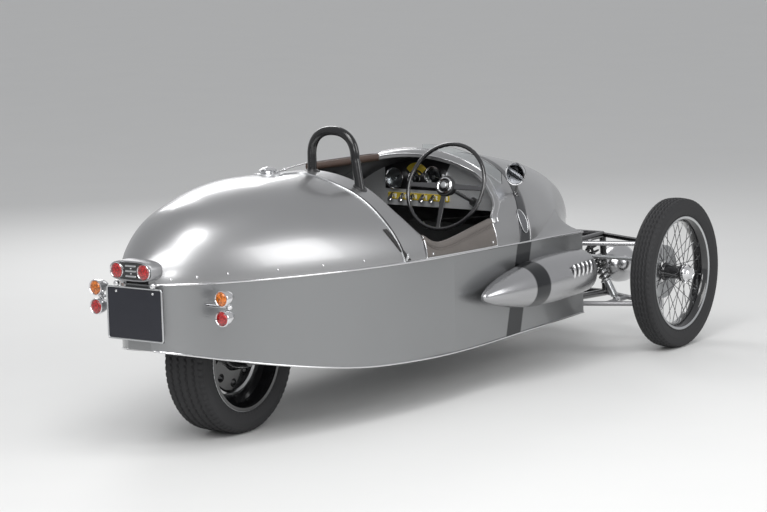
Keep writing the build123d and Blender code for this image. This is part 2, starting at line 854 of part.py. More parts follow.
def make_knuckle():
    """Upright between the ball joints, with the stub axle and the steering arm."""
    low = lower_pivot_height + ball_radius + seat_gap
    high = upper_pivot_height - ball_radius - seat_gap
    piece = rod((-kingpin_x, front_axle_y, low), (-kingpin_x, front_axle_y, high), upright_radius)
    piece += rod((-kingpin_x, front_axle_y, front_tyre_radius),
                 (-track / 2 - wheel_hub_half / 2, front_axle_y, front_tyre_radius), stub_radius)
    arm_z = rack_height - tie_rod_radius * 2 - bead / 2 - eye_gap
    piece += rod((-kingpin_x, front_axle_y, arm_z), (-kingpin_x, front_axle_y + arm_length, arm_z), tie_rod_radius)
    return piece


def make_front_wheel():
    """Laced wire wheel: rim, hub with its eared cap, and crossed spokes."""
    half = rim_width / 2
    well = front_rim_radius - rim_depth
    lip = front_rim_radius + rim_lip
    inside = front_rim_radius - rim_lip
    rim = turned([(well, -half / 2), (inside, -half + rim_lip), (inside, -half), (lip, -half), (lip, -half + rim_lip),
                  (front_rim_radius, -half + rim_lip), (front_rim_radius, -half * 0.7),
                  (well + rim_lip, -half / 3), (well + rim_lip, half / 3),
                  (front_rim_radius, half * 0.7), (front_rim_radius, half - rim_lip), (lip, half - rim_lip),
                  (lip, half), (inside, half), (inside, half - rim_lip), (well, half / 2)],
                 (0, 0, 0), (0, 0, 1))
    flange = wheel_hub_radius + hub_flange
    bore = stub_radius + hub_bore_gap
    face = wheel_hub_half
    hub = turned([(bore, -face), (flange, -face), (flange, -face + bead), (wheel_hub_radius, -face + bead * 2),
                  (wheel_hub_radius, face - bead * 3), (wheel_hub_radius + bead / 2, face - bead * 2),
                  (wheel_hub_radius, face), (wheel_hub_radius * 0.6, face + spinner_reach * 0.7),
                  (wheel_hub_radius * 0.2, face + spinner_reach), (0, face + spinner_reach), (0, face - bead),
                  (bore, face - bead)],
                 (0, 0, 0), (0, 0, 1))
    spokes = []
    step = 2 * pi / spoke_pairs
    root = wheel_hub_radius - spoke_radius / 2
    end_radius = well + spoke_radius
    offset = spoke_radius * 1.2
    for pair in range(spoke_pairs):
        level = face - bead * 2 if pair % 2 else -face + bead
        for lean in (-1, 1):
            inner_turn = pair * step
            outer_turn = inner_turn + lean * step * spoke_lean
            start = (root * cos(inner_turn), root * sin(inner_turn), level + lean * offset)
            end = (end_radius * cos(outer_turn), end_radius * sin(outer_turn), lean * offset)
            spokes.append(rod(start, end, spoke_radius))
    return rim.fuse(hub, *spokes)


def tyre(outer, rim, lip, foot_half, width, tread_share):
    """A tyre about the Z axis: straight walls and tread, its foot between the rim's lips."""
    half = width / 2
    rise = (outer - rim) * tyre_widest_share
    inner_half = foot_half - seat_gap
    tuck = (half - inner_half) * lip / (rise - lip) + seat_gap
    profile = [(rim + seat_gap, inner_half - tuck), (rim + rise, half), (outer, half * tread_share)]
    mirrored = [(radius, -level) for radius, level in reversed(profile)]
    return turned(profile + mirrored, (0, 0, 0), (0, 0, 1))


def on_front_axle(piece):
    """Put a piece made about Z onto the right front axle, its outside face outwards."""
    return Plane(origin=(-track / 2, front_axle_y, front_tyre_radius), x_dir=(0, 1, 0), z_dir=(-1, 0, 0)) * piece


def on_rear_axle(piece):
    """Put a piece made about Z onto the rear axle."""
    return Plane(origin=(0, rear_axle_y, rear_tyre_radius), x_dir=(0, 1, 0), z_dir=(-1, 0, 0)) * piece


def make_rear_wheel():
    """Disc wheel with a deep rim, round holes and a bright centre."""
    half = rear_rim_width / 2
    well = rear_rim_radius - rear_rim_thickness
    seat = rear_rim_radius
    lip = seat + rear_lip
    inside = seat - rear_lip
    web = well - rear_web_rise
    end = arm_half_gap - rear_hub_end
    nave = rear_hub_radius * 0.6
    bore = rear_axle_radius + hub_bore_gap
    wheel = turned([(bore, -end), (nave, -end), (rear_hub_radius, -half * 0.4), (web, -half * 0.1),
                    (well, -half * 0.4), (inside, -half + rear_lip), (inside, -half), (lip, -half),
                    (lip, -half + rear_lip), (seat, -half + rear_lip), (seat, -half * 0.7),
                    (well + rear_lip, -half / 2), (well + rear_lip, half / 2), (seat, half * 0.7),
                    (seat, half - rear_lip), (lip, half - rear_lip), (lip, half), (inside, half),
                    (inside, half - rear_lip), (well, half * 0.4), (web, half * 0.1),
                    (rear_hub_radius, half * 0.2), (nave, end), (bore, end)],
                   (0, 0, 0), (0, 0, 1))
    place = (rear_hub_radius + web) / 2
    for turn in range(rear_hole_count):
        angle = 2 * pi * turn / rear_hole_count
        wheel -= Pos(place * cos(angle), place * sin(angle), 0) * Cylinder(rear_hole_radius, half * 2)
    return wheel


def make_rear_arm():
    """Swinging arm: two plates from the pivot tube to the rear axle."""
    piece = rod((-arm_half_gap - arm_plate, ahead(arm_pivot_ahead), arm_pivot_height),
                (arm_half_gap + arm_plate, ahead(arm_pivot_ahead), arm_pivot_height), frame_tube_radius)
    for side in (-1, 1):
        x = side * (arm_half_gap + arm_plate / 2)
        outline = make_hull([
            *(Pos(rear_axle_y, rear_tyre_radius) * Circle(arm_height / 2)).edges(),
            *(Pos(ahead(arm_pivot_ahead), arm_pivot_height) * Circle(arm_height / 2.4)).edges(),
        ])
        plate = extrude(Plane.YZ * outline, arm_plate / 2, both=True)
        piece += Pos(x, 0, 0) * plate
    axle = rod((-arm_half_gap - arm_plate, rear_axle_y, rear_tyre_radius),
               (arm_half_gap + arm_plate, rear_axle_y, rear_tyre_radius), rear_axle_radius)
    return piece + axle


def make_rear_lamps():
    """Amber over red bullet lamps on one bracket."""
    y = rear_axle_y + rear_lamp_behind
    bodies = []
    for height in (amber_height, red_height):
        r = rear_lamp_radius
        shape = make_face([
            Line((0, 0, 0), (r, 0, 0)),
            Line((r, 0, 0), (r, 0, -bead * 2)),
            ThreePointArc((r, 0, -bead * 2), (r * 0.72, 0, -rear_lamp_length * 0.62), (0, 0, -rear_lamp_length)),
            Line((0, 0, -rear_lamp_length), (0, 0, 0)),
        ])
        bullet = revolve(shape, Axis.Z)
        bodies.append(Plane(origin=(-rear_lamp_x, y, height), x_dir=(1, 0, 0), z_dir=(0, 1, 0)) * bullet)
    post_y = y - rear_lamp_length / 2
    post = rod((-rear_lamp_x, post_y, red_height), (-rear_lamp_x, post_y, amber_height), bead)
    middle = (red_height + amber_height) / 2
    stay = rod((-rear_lamp_x, post_y, middle), (-half_width(post_y) + body_wall, post_y, middle), bead)
    piece = bodies[0] + bodies[1] + post + stay
    return piece - body_blank(seat_gap)


def make_plate():
    """Blank number plate on its backing block."""
    y = rear_axle_y + plate_behind
    plate = slab(y - plate_thickness, y, plate_low, plate_high, -plate_width / 2, plate_width / 2)
    block = slab(tail_end_y - body_wall, y - plate_thickness, plate_low + bead * 4, plate_high - bead * 4,
                 -plate_width / 5, plate_width / 5)
    return (plate + block) - body_blank(seat_gap)


def make_stop_lamp():
    """Dark housing with two red lamps, over the plate."""
    y = rear_axle_y + rear_overhang
    lens = bead * 2
    low = stop_lamp_height - stop_housing_height / 2
    box = slab(tail_end_y - body_wall * 4, y - lens, low, low + stop_housing_height,
               -stop_housing_half, stop_housing_half)
    box = fillet(box.edges().filter_by(Axis.Y), stop_housing_height / 4)
    for x in (-stop_lamp_x, stop_lamp_x):
        box += rod((x, y - lens * 2, stop_lamp_height), (x, y, stop_lamp_height), stop_lamp_radius)
    return box - body_blank(seat_gap)


def make_aero_screen():
    """Low clear screen that follows the scuttle's crown in front of the driver."""
    y = scuttle_y + seat_gap * 2
    crown = crown_height(y)
    outer = make_face(section(y, body_half_width, 0, crown, screen_rise))
    inner = make_face(section(y, body_half_width, 0, crown, seat_gap * 2))
    band = extrude(outer, screen_thickness, dir=(0, 1, 0)) - extrude(inner, screen_thickness * 2, both=True)
    return band & slab(y - screen_rise, y + screen_rise, waist(y), body_top * 2, screen_outer_x, screen_inner_x)


def make_mirror():
    """Round mirror on a short stalk from the scuttle."""
    y = ahead(mirror_ahead)
    r = mirror_radius
    shell = make_face([
        Line((0, 0, 0), (r * 0.9, 0, 0)),
        Line((r * 0.9, 0, 0), (r, 0, -bead)),
        ThreePointArc((r, 0, -bead), (r * 0.72, 0, -r * 0.6), (0, 0, -r * 0.8)),
        Line((0, 0, -r * 0.8), (0, 0, 0)),
    ])
    shell = Plane(origin=(-mirror_x, y, mirror_height), x_dir=(1, 0, 0), z_dir=(0, 1, 0)) * revolve(shell, Axis.Z)
    stalk = rod((-mirror_x, y - r / 2, mirror_height), (-mirror_x + r / 2, y - r / 2, mirror_height - r * 3), bead)
    return (shell + stalk) - bonnet_blank(seat_gap)


def make_rack_housing():
    """Rack housing across the frame."""
    y = ahead(rack_ahead)
    tube = rod((-rack_housing_half, y, rack_height), (rack_housing_half, y, rack_height), rack_housing_radius)
    return tube - rod((-frame_x, y, rack_height), (frame_x, y, rack_height), rack_radius + shaft_clearance)


def make_rack():
    """Rack bar with a tie rod and an eye for each steering arm, in one line."""
    middle = rack_housing_half
    bar = turned([(0, -kingpin_x), (tie_rod_radius, -kingpin_x), (tie_rod_radius, -middle), (rack_radius, -middle),
                  (rack_radius, middle), (tie_rod_radius, middle), (tie_rod_radius, kingpin_x), (0, kingpin_x)],
                 (0, ahead(rack_ahead), rack_height), (1, 0, 0))
    for x in (-kingpin_x, kingpin_x):
        bar += Pos(x, ahead(rack_ahead), rack_height) * Cylinder(tie_rod_radius + bead, tie_rod_radius * 2 + bead)
    return bar


def make_battery():
    """Battery pack on the floor in the nose of the tub."""
    y = tub_front_y + body_wall + seat_gap
    block = slab(y, y + battery_length, tub_floor_low, tub_floor_low + battery_height,
                 -battery_half_width, battery_half_width)
    return block & body_blank(-body_wall - seat_gap)


def make_motor():
    """Motor on the floor behind the seat."""
    y = ahead(motor_ahead)
    block = slab(y - motor_length / 2, y + motor_length / 2, tub_floor_low, tub_floor_low + motor_height,
                 -motor_half_width, motor_half_width)
    return block & body_blank(-body_wall - seat_gap)


if __name__ == "__main__":
    hoop_cuts = hoop_holes()
    parts["tub"] = make_tub()
    parts["tail_shell"] = make_tail_shell()
    parts["rear_deck"] = make_rear_deck() - hoop_cuts[0] - hoop_cuts[1]
    parts["tonneau"] = make_tonneau()
    parts["scuttle"] = make_scuttle()
    parts["bonnet"] = make_bonnet()
    parts["nose_cowl"] = make_nose_cowl()
    parts["body_beads"] = make_beads()
    parts["dash_panel"] = make_dash()
    parts["gauges"] = make_gauges()
    parts["steering_column"] = make_column()
    parts["steering_wheel"] = make_steering_wheel()
    parts["elbow_pad"] = make_elbow_pad()
    parts["seat_cushion"] = make_cushion()
    parts["seat_back"] = make_seat_back()
    parts["roll_hoop"] = make_hoop()
    parts["filler_cap"] = make_filler()
    parts["front_frame"] = make_front_frame()
    parts["rack_housing"] = make_rack_housing()
    parts["steering_rack"] = make_rack()
    parts["battery_block"] = make_battery()
    parts["motor_block"] = make_motor()
    parts["rear_arm"] = make_rear_arm()
    parts["rear_wheel"] = on_rear_axle(make_rear_wheel())
    parts["rear_tyre"] = on_rear_axle(tyre(rear_tyre_radius, rear_rim_radius, rear_lip, rear_rim_width / 2 - rear_lip,
                                           rear_tyre_width, rear_tread_share))
    parts["aero_screen"] = make_aero_screen()
    parts["upper_wishbones"] = Compound(children=[*both_sides(make_wishbone(upper_pivot_height, upper_pivot_spread, False))])
    parts["lower_wishbones"] = Compound(children=[*both_sides(make_wishbone(lower_pivot_height, lower_pivot_spread, True))])
    parts["dampers"] = Compound(children=[*both_sides(make_damper())])
    parts["number_plate"] = make_plate()
    parts["stop_lamp"] = make_stop_lamp()
    pairs = {
        "side_pod": make_pod(),
        "headlamp": make_headlamp(),
        "mirror": make_mirror(),
        "rear_lamps": make_rear_lamps(),
        "knuckle": make_knuckle(),
        "front_wheel": on_front_axle(make_front_wheel()),
        "front_tyre": on_front_axle(tyre(front_tyre_radius, front_rim_radius, rim_lip, rim_width / 2 - rim_lip,
                                         front_tyre_width, front_tread_share)),
    }
    for name, piece in pairs.items():
        right, left = both_sides(piece)
        parts[name + "_right"] = right
        parts[name + "_left"] = left
    os.makedirs("parts", exist_ok=True)
    for name, piece in parts.items():
        export_step(piece, "parts/" + name + ".step")
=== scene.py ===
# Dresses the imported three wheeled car: panels, wheels, cockpit, lamps, then the studio.
import json
import math

import bmesh
import bpy
import numpy as np
from mathutils import Matrix, Vector


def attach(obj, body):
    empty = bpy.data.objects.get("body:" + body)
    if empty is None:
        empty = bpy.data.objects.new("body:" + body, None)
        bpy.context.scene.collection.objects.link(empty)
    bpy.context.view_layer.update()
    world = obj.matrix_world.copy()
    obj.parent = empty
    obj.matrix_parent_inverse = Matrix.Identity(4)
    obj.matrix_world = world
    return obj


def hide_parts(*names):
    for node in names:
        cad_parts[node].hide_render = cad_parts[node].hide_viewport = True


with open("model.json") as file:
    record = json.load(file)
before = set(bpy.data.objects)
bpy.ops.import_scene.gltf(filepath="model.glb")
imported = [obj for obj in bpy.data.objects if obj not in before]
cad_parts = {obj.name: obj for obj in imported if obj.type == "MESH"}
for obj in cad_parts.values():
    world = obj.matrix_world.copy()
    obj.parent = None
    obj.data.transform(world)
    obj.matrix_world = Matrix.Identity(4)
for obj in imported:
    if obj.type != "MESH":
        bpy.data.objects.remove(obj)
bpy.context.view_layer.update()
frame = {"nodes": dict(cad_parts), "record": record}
scene = bpy.context.scene
scene.view_settings.view_transform = "Standard"

# sizes shared with the solids, in metres
layout = {
    "rearAxleY": 1.0535,
    "frontAxleY": -1.3285,
}
bothSides = ((-1, "right"), (1, "left"))  # x is the driver's left


# shader maths
class Wire:
    # Wraps a socket or a number, so that shader maths reads as plain expressions.
    def __init__(self, tree, value):
        self.tree = tree
        self.value = value

    def _maths(self, operation, *others):
        node = self.tree.nodes.new("ShaderNodeMath")
        node.operation = operation
        for slot, item in enumerate((self, *others)):
            item = item.value if isinstance(item, Wire) else item
            if isinstance(item, (int, float)):
                node.inputs[slot].default_value = item
            else:
                self.tree.links.new(item, node.inputs[slot])
        return Wire(self.tree, node.outputs[0])

    def __add__(self, other):
        return self._maths("ADD", other)

    __radd__ = __add__

    def __mul__(self, other):
        return self._maths("MULTIPLY", other)

    __rmul__ = __mul__

    def __sub__(self, other):
        return self._maths("SUBTRACT", other)

    def __rsub__(self, other):
        return Wire(self.tree, other)._maths("SUBTRACT", self)

    def __gt__(self, other):
        return self._maths("GREATER_THAN", other)

    def __lt__(self, other):
        return self._maths("LESS_THAN", other)

    def __abs__(self):
        return self._maths("ABSOLUTE")

    def smooth(self, low, high):
        # 0 below low, 1 above high, an even s-curve between
        node = self.tree.nodes.new("ShaderNodeMapRange")
        node.interpolation_type = "SMOOTHSTEP"
        node.inputs["From Min"].default_value = low
        node.inputs["From Max"].default_value = high
        self.tree.links.new(self.value, node.inputs["Value"])
        return Wire(self.tree, node.outputs["Result"])


class Finish:
    # One material with its nodes: any node comes from add(), and the shader's sockets from put().
    def __init__(self, name, **values):
        self.material = bpy.data.materials.new(name)
        self.material.use_nodes = True
        self.tree = self.material.node_tree
        self.shader = self.tree.nodes["Principled BSDF"]
        self.put(**values)

    def socket(self, node, name):
        return node.inputs[name if isinstance(name, int) else name.replace("_", " ")]

    def link(self, node, name, value):
        target = self.socket(node, name)
        if isinstance(value, Wire):
            value = value.value
        if isinstance(value, bpy.types.NodeSocket):
            self.tree.links.new(value, target)
        elif isinstance(value, (tuple, list)) and len(value) == 3 and target.type == "RGBA":
            target.default_value = (*value, 1)
        else:
            target.default_value = value

    def put(self, **values):
        for name, value in values.items():
            self.link(self.shader, name, value)
        return self

    def add(self, kind, settings=None, **sockets):
        node = self.tree.nodes.new("ShaderNode" + kind)
        for name, value in (settings or {}).items():
            if name == "stops":
                ramp = node.color_ramp.elements
                while len(ramp) < len(value):
                    ramp.new(0.5)
                for element, (position, colour) in zip(ramp, value):
                    element.position = position
                    element.color = (*colour, 1)
            else:
                setattr(node, name, value)
        for name, value in sockets.items():
            self.link(node, int(name[1:]) if name[0] == "i" and name[1:].isdigit() else name, value)
        return node

    def wire(self, socket):
        return Wire(self.tree, socket)

    def coords(self):
        node = self.add("SeparateXYZ", i0=self.add("TexCoord").outputs["Object"])
        return [self.wire(node.outputs[axis]) for axis in range(3)]

    def noise(self, scale, detail=3.0, vector=None, rough=0.5):
        vector = vector or self.add("TexCoord").outputs["Object"]
        node = self.add("TexNoise", Vector=vector, Scale=scale, Detail=detail, Roughness=rough)
        return self.wire(node.outputs["Fac"])

    def mix(self, factor, low, high):
        node = self.add("Mix", {"data_type": "RGBA"})
        self.link(node, 0, factor)
        self.link(node, 6, low)
        self.link(node, 7, high)
        return node.outputs[2]

    def bump(self, height, distance, strength=1.0):
        node = self.add("Bump", Height=height, Distance=distance, Strength=strength)
        self.put(Normal=node.outputs[0])
        return self


def metalPaint(name, colour, rough, metallic=0.9, flake=0.05, coat=0.6):
    # Metallic paint: fine flake and slow cloudiness change its colour and gloss a little.
    finish = Finish(name, Metallic=metallic, Coat_Weight=coat, Coat_Roughness=0.08)
    fine = finish.noise(900.0, 2.0)
    cloud = finish.noise(3.0, 2.0)
    shade = 1 - flake + fine * flake + cloud * flake
    finish.put(Base_Color=finish.mix(shade.smooth(0.9, 1.06), tuple(c * 0.86 for c in colour), colour))
    finish.put(Roughness=rough + cloud * 0.05)
    return finish.bump(fine, 0.00004, 0.3)


def plainMetal(name, colour, rough, grain=0.03, scale=60.0):
    # Bright or brushed metal with faint wipe marks in its gloss.
    finish = Finish(name, Metallic=1.0)
    marks = finish.noise(scale, 4.0)
    finish.put(Base_Color=finish.mix(marks, colour, tuple(c * 0.93 for c in colour)))
    finish.put(Roughness=rough + marks * grain)
    return finish


def gloss(name, colour, rough, coat=0.5, metallic=0.0):
    # Painted or moulded surface with slight unevenness.
    finish = Finish(name, Metallic=metallic, Coat_Weight=coat, Coat_Roughness=0.05)
    cloud = finish.noise(20.0, 3.0)
    finish.put(Base_Color=finish.mix(cloud, colour, tuple(min(1, c * 1.25 + 0.004) for c in colour)))
    finish.put(Roughness=rough + cloud * 0.08)
    return finish


def hide(name, colour, rough=0.42, crease=0.0006, scale=420.0):
    # Leather: pebbled grain whose creases are painted darker as painted shade, with random cloudiness in tone and
    # gloss.
    finish = Finish(name, Coat_Weight=0.12, Coat_Roughness=0.3)
    spot = finish.add("TexVoronoi", {"feature": "DISTANCE_TO_EDGE"},
                      Vector=finish.add("TexCoord").outputs["Object"], Scale=scale)
    pebble = finish.wire(spot.outputs["Distance"])
    cloud = finish.noise(9.0, 4.0)
    # dark: the colour painted into the grain's creases, a painted shade
    dark = tuple(c * 0.55 for c in colour)
    finish.put(Base_Color=finish.mix(pebble.smooth(0.0, 0.25) * 0.5 + cloud * 0.5, dark, colour))
    finish.put(Roughness=rough + cloud * 0.16)
    return finish.bump(pebble.smooth(0.0, 0.35), crease, 0.6)


def rubber(name, colour=(0.014, 0.014, 0.015)):
    # Tyre rubber: dull, dusted a little paler.
    finish = Finish(name)
    dust = finish.noise(35.0, 5.0)
    finish.put(Base_Color=finish.mix(dust, colour, tuple(c * 1.9 for c in colour)))
    finish.put(Roughness=0.62 + dust * 0.18)
    return finish.bump(finish.noise(900.0, 2.0), 0.0001, 0.35)


paint = metalPaint("silverPaint", (0.40, 0.40, 0.405), 0.30)
chrome = plainMetal("polishedMetal", (0.82, 0.82, 0.83), 0.07)
brushed = plainMetal("brushedAlloy", (0.62, 0.63, 0.64), 0.27, 0.06, 180.0)
dullAlloy = plainMetal("castAlloy", (0.42, 0.42, 0.43), 0.42, 0.1, 90.0)
blackTube = gloss("blackEnamel", (0.008, 0.008, 0.009), 0.12, 1.0)
blackPart = gloss("blackSatin", (0.018, 0.018, 0.019), 0.38, 0.1)
bandPaint = gloss("darkBand", (0.022, 0.023, 0.026), 0.32, 0.4, 0.3)
plateBlue = gloss("plateBlank", (0.004, 0.005, 0.012), 0.30, 0.25)
brownHide = hide("brownLeather", (0.088, 0.052, 0.038))
greyHide = hide("greyLeather", (0.150, 0.132, 0.120))
tyreRubber = rubber("tyreRubber")
# steel with its colour set dark: a painted dark reflection, standing in for the dark surroundings that polished spokes
# mirror
spokeSteelPaintedShade = plainMetal("spokeSteelPaintedShade", (0.16, 0.16, 0.165), 0.25, 0.06, 90.0)
massBlock = gloss("plainBlock", (0.05, 0.05, 0.055), 0.5, 0.0)
screenGlass = Finish("clearScreen", Roughness=0.03, Transmission_Weight=1.0, IOR=1.45, Base_Color=(0.93, 0.96, 0.96))
# mirror glass given a low, dark reflecting colour: a painted dark reflection
mirrorGlass = plainMetal("mirrorGlass", (0.30, 0.31, 0.33), 0.02, 0.01)

slotFinish = {
    "body_paint": paint, "bright": chrome, "black_tube": blackTube, "black_part": blackPart, "dash": brushed,
    "leather": brownHide, "glass": screenGlass, "tyre": tyreRubber, "wheel_black": blackTube, "alloy": dullAlloy,
    "lamp_bright": chrome, "lamp_dark": blackPart, "plate": plateBlue, "mass": massBlock,
}
slotOf = {part["node"]: part["material_slot"] for part in frame["record"]["subparts"]}
for name, node in frame["nodes"].items():
    node.data.materials.clear()
    node.data.materials.append(slotFinish[slotOf[name]].material)
print("finishes made")


# mesh making
def gridQuads(rows, columns, aroundRows=False, aroundColumns=False):
    # Quads of a grid of points; a direction that closes joins its last line to its first.
    rowSpan = rows if aroundRows else rows - 1
    columnSpan = columns if aroundColumns else columns - 1
    i, j = np.meshgrid(np.arange(rowSpan), np.arange(columnSpan), indexing="ij")
    k, m = (i + 1) % rows, (j + 1) % columns
    return np.stack([i * columns + j, k * columns + j, k * columns + m, i * columns + m], -1).reshape(-1, 4)


def cappedTube(rows, columns):
    # a grid whose rows are rings, with a cap on its first and last ring
    last = (rows - 1) * columns
    return gridQuads(rows, columns, False, True).tolist() + [list(range(columns))[::-1],
                                                            [last + j for j in range(columns)]]


def cappedBand(rows, columns):
    # a grid whose columns are rings, with a cap on its first and last column
    return gridQuads(rows, columns, True, False).tolist() + [[k * columns for k in range(rows)][::-1],
                                                             [k * columns + columns - 1 for k in range(rows)]]


def makePiece(name, points, quads, finish, body="car_body", slot=None, merge=0.0, flip=False, sharp=None):
    # A mesh object from arrays, smooth shaded, riding on its body.
    mesh = bpy.data.meshes.new(name)
    points = np.asarray(points, float).reshape(-1, 3)
    mesh.from_pydata(points.tolist(), [], quads if isinstance(quads, list) else quads.tolist())
    if merge or flip:
        work = bmesh.new()
        work.from_mesh(mesh)
        if merge:
            bmesh.ops.remove_doubles(work, verts=work.verts, dist=merge)
            bmesh.ops.dissolve_degenerate(work, edges=work.edges, dist=merge / 4)
            bmesh.ops.recalc_face_normals(work, faces=work.faces)
        if flip:
            bmesh.ops.reverse_faces(work, faces=work.faces)
        work.to_mesh(mesh)
        work.free()
    mesh.validate()
    mesh.polygons.foreach_set("use_smooth", [True] * len(mesh.polygons))
    if sharp is not None:
        mesh.set_sharp_from_angle(angle=math.radians(sharp))
    piece = bpy.data.objects.new(name, mesh)
    scene.collection.objects.link(piece)
    mesh.materials.append(finish.material)
    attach(piece, body)
    return piece


def thicken(piece, wall, offset=-1.0):
    # a real wall on an open surface, inwards unless the offset says otherwise
    solid = piece.modifiers.new("wall", "SOLIDIFY")
    solid.thickness = wall
    solid.offset = offset
    return piece


def smoothLine(knots, values, at):
    # Cubic Hermite curve through a table's values, with slopes from the neighbours.
    knots, values = np.asarray(knots, float), np.asarray(values, float)
    step = np.diff(knots)
    rise = np.diff(values) / step
    inner = (rise[:-1] * step[1:] + rise[1:] * step[:-1]) / (step[:-1] + step[1:])
    slope = np.concatenate([rise[:1], inner, rise[-1:]])
    place = np.clip(np.searchsorted(knots, at, side="right") - 1, 0, len(step) - 1)
    t = (at - knots[place]) / step[place]
    h = step[place]
    return (values[place] * (2 * t ** 3 - 3 * t ** 2 + 1) + values[place + 1] * (3 * t ** 2 - 2 * t ** 3)
            + slope[place] * h * (t ** 3 - 2 * t ** 2 + t) + slope[place + 1] * h * (t ** 3 - t ** 2))


def tableLine(table, at):
    # the smooth line through a table of (knot, value)
    table = np.array(table, float)
    return smoothLine(table[:, 0], table[:, 1], at)


def smoothPath(points, count):
    # Points evenly spread by distance along a smooth line through the given ones.
    points = np.asarray(points, float)
    reach = np.concatenate([[0], np.cumsum(np.linalg.norm(np.diff(points, axis=0), axis=1))])
    fine = np.linspace(0, reach[-1], count * 8)
    line = np.stack([smoothLine(reach, points[:, axis], fine) for axis in range(3)], -1)
    length = np.concatenate([[0], np.cumsum(np.linalg.norm(np.diff(line, axis=0), axis=1))])
    even = np.linspace(0, length[-1], count)
    return np.stack([np.interp(even, length, line[:, axis]) for axis in range(3)], -1)


def frames(path, closed=False, up=(0, 0, 1)):
    # Unit tangent, side and up vectors along a path, held level against one fixed up direction.
    ahead = np.roll(path, -1, 0) - np.roll(path, 1, 0)
    if not closed:
        ahead[0], ahead[-1] = path[1] - path[0], path[-1] - path[-2]
    tangent = ahead / np.linalg.norm(ahead, axis=1, keepdims=True)
    side = np.cross(tangent, np.asarray(up, float))
    side /= np.maximum(np.linalg.norm(side, axis=1, keepdims=True), 1e-9)
    return tangent, side, np.cross(side, tangent)


def sweep(name, path, outline, finish, closed=False, up=(0, 0, 1), **settings):
    # Carries an outline (side, up) along a path: point = path + side * a + up * b.
    path = np.asarray(path, float)
    outline = np.asarray(outline, float)
    _, side, rise = frames(path, closed, up)
    points = (path[:, None] + side[:, None] * outline[None, :, :1] + rise[:, None] * outline[None, :, 1:])
    faces = gridQuads(len(path), len(outline), True, True) if closed else cappedTube(len(path), len(outline))
    return makePiece(name, points, faces, finish, **settings)


def circle(radius, sides=16):
    # outline: (radius cos, radius sin)
    turn = np.linspace(0, 2 * np.pi, sides, endpoint=False)
    return np.stack([radius * np.cos(turn), radius * np.sin(turn)], -1)


def rod(name, points, radius, finish, sides=16, count=None, **settings):
    # A round tube along a smooth line.
    path = smoothPath(points, count) if count else np.asarray(points, float)
    return sweep(name, path, circle(radius, sides), finish, **settings)


def axisFrame(axis):
    # two directions square to the axis and to each other, and the axis at unit length
    axis = np.asarray(axis, float) / np.linalg.norm(axis)
    helper = np.array([0, 0, 1.0]) if abs(axis[2]) < 0.9 else np.array([1.0, 0, 0])
    first = np.cross(helper, axis)
    first /= np.linalg.norm(first)
    return first, np.cross(axis, first), axis


def turnedPoints(profile, origin, axis, sides):
    # point = origin + radius * (cos * first + sin * second) + distance * axis, for each row of the profile
    profile = np.asarray(profile, float)
    first, second, along = axisFrame(axis)
    turn = np.linspace(0, 2 * np.pi, sides, endpoint=False)[None, :, None]
    return (np.asarray(origin, float) + profile[:, :1, None] * (np.cos(turn) * first + np.sin(turn) * second)
            + profile[:, 1:, None] * along)


def lathe(name, profile, origin, axis, finish, sides=48, **settings):
    # turns a profile of (radius, distance along the axis) about the axis
    settings.setdefault("merge", 1e-6)
    settings.setdefault("sharp", 38)
    return makePiece(name, turnedPoints(profile, origin, axis, sides), gridQuads(len(profile), sides, False, True),
                     finish, **settings)


print("tools ready")

# body form
bodyForm = {
    "halfWidth": 0.502,
    "taperStart": 0.898,  # ahead of the rear axle
    "tailTip": 0.576,  # behind it
    "fullness": 1.93,
    "roundness": 1.77,
    "tubFront": -1.96,
    "tailEnd": 0.560,
    "waistFront": 0.575,
    "waistSlope": 0.111 / 2.536,
    "archPower": 1.94,
    # distance behind the rear axle, floor height
    "floors": [(-1.96, 0.208), (-1.506, 0.206), (-0.898, 0.209), (-0.599, 0.223), (-0.297, 0.248), (-0.045, 0.288),
               (0.182, 0.335), (0.358, 0.377), (0.479, 0.408), (0.560, 0.428)],
    # distance behind the rear axle, rise of the crown above the waist
    "rises": [(-2.56, 0.100), (-2.50, 0.150), (-2.40, 0.199), (-2.20, 0.268), (-1.96, 0.317), (-1.75, 0.352),
              (-1.50, 0.360), (-0.898, 0.357), (-0.599, 0.355), (-0.297, 0.360), (-0.045, 0.353), (0.182, 0.309),
              (0.358, 0.249), (0.479, 0.164), (0.560, 0.080)],
    # distance behind the rear axle, half width of the bonnet
    "bonnet": [(-2.56, 0.030), (-2.50, 0.095), (-2.40, 0.156), (-2.20, 0.261), (-1.96, 0.379), (-1.75, 0.447),
               (-1.55, 0.496), (-1.42, 0.502), (-1.2, 0.502)],
    "skin": 0.003,
    "gap": 0.0022,
    "cockpitTurn": math.radians(70.6),  # where the tonneau ends, x = 0.16
}
rearAxleY = layout["rearAxleY"]


def bodyPlan(y):
    # Half width along the body: a superellipse behind the taper's start, a table ahead of it.
    share = np.clip((y + bodyForm["taperStart"]) / (bodyForm["tailTip"] + bodyForm["taperStart"]), 0, 1)
    boat = bodyForm["halfWidth"] * (1 - share ** bodyForm["fullness"]) ** (1 / bodyForm["roundness"])
    nose = tableLine(bodyForm["bonnet"], np.clip(y, -2.56, -1.2))
    return np.where(y < -1.2, nose, boat)


def waistHeight(y):
    # a straight line: start + slope * (y - the tub's front)
    return bodyForm["waistFront"] + bodyForm["waistSlope"] * (y - bodyForm["tubFront"])


def bodyFloor(y):
    # the tub's foot, from a table
    return tableLine(bodyForm["floors"], y)


def bodyCrown(y):
    # the body's top: waist + a rise from a table
    return waistHeight(y) + tableLine(bodyForm["rises"], y)


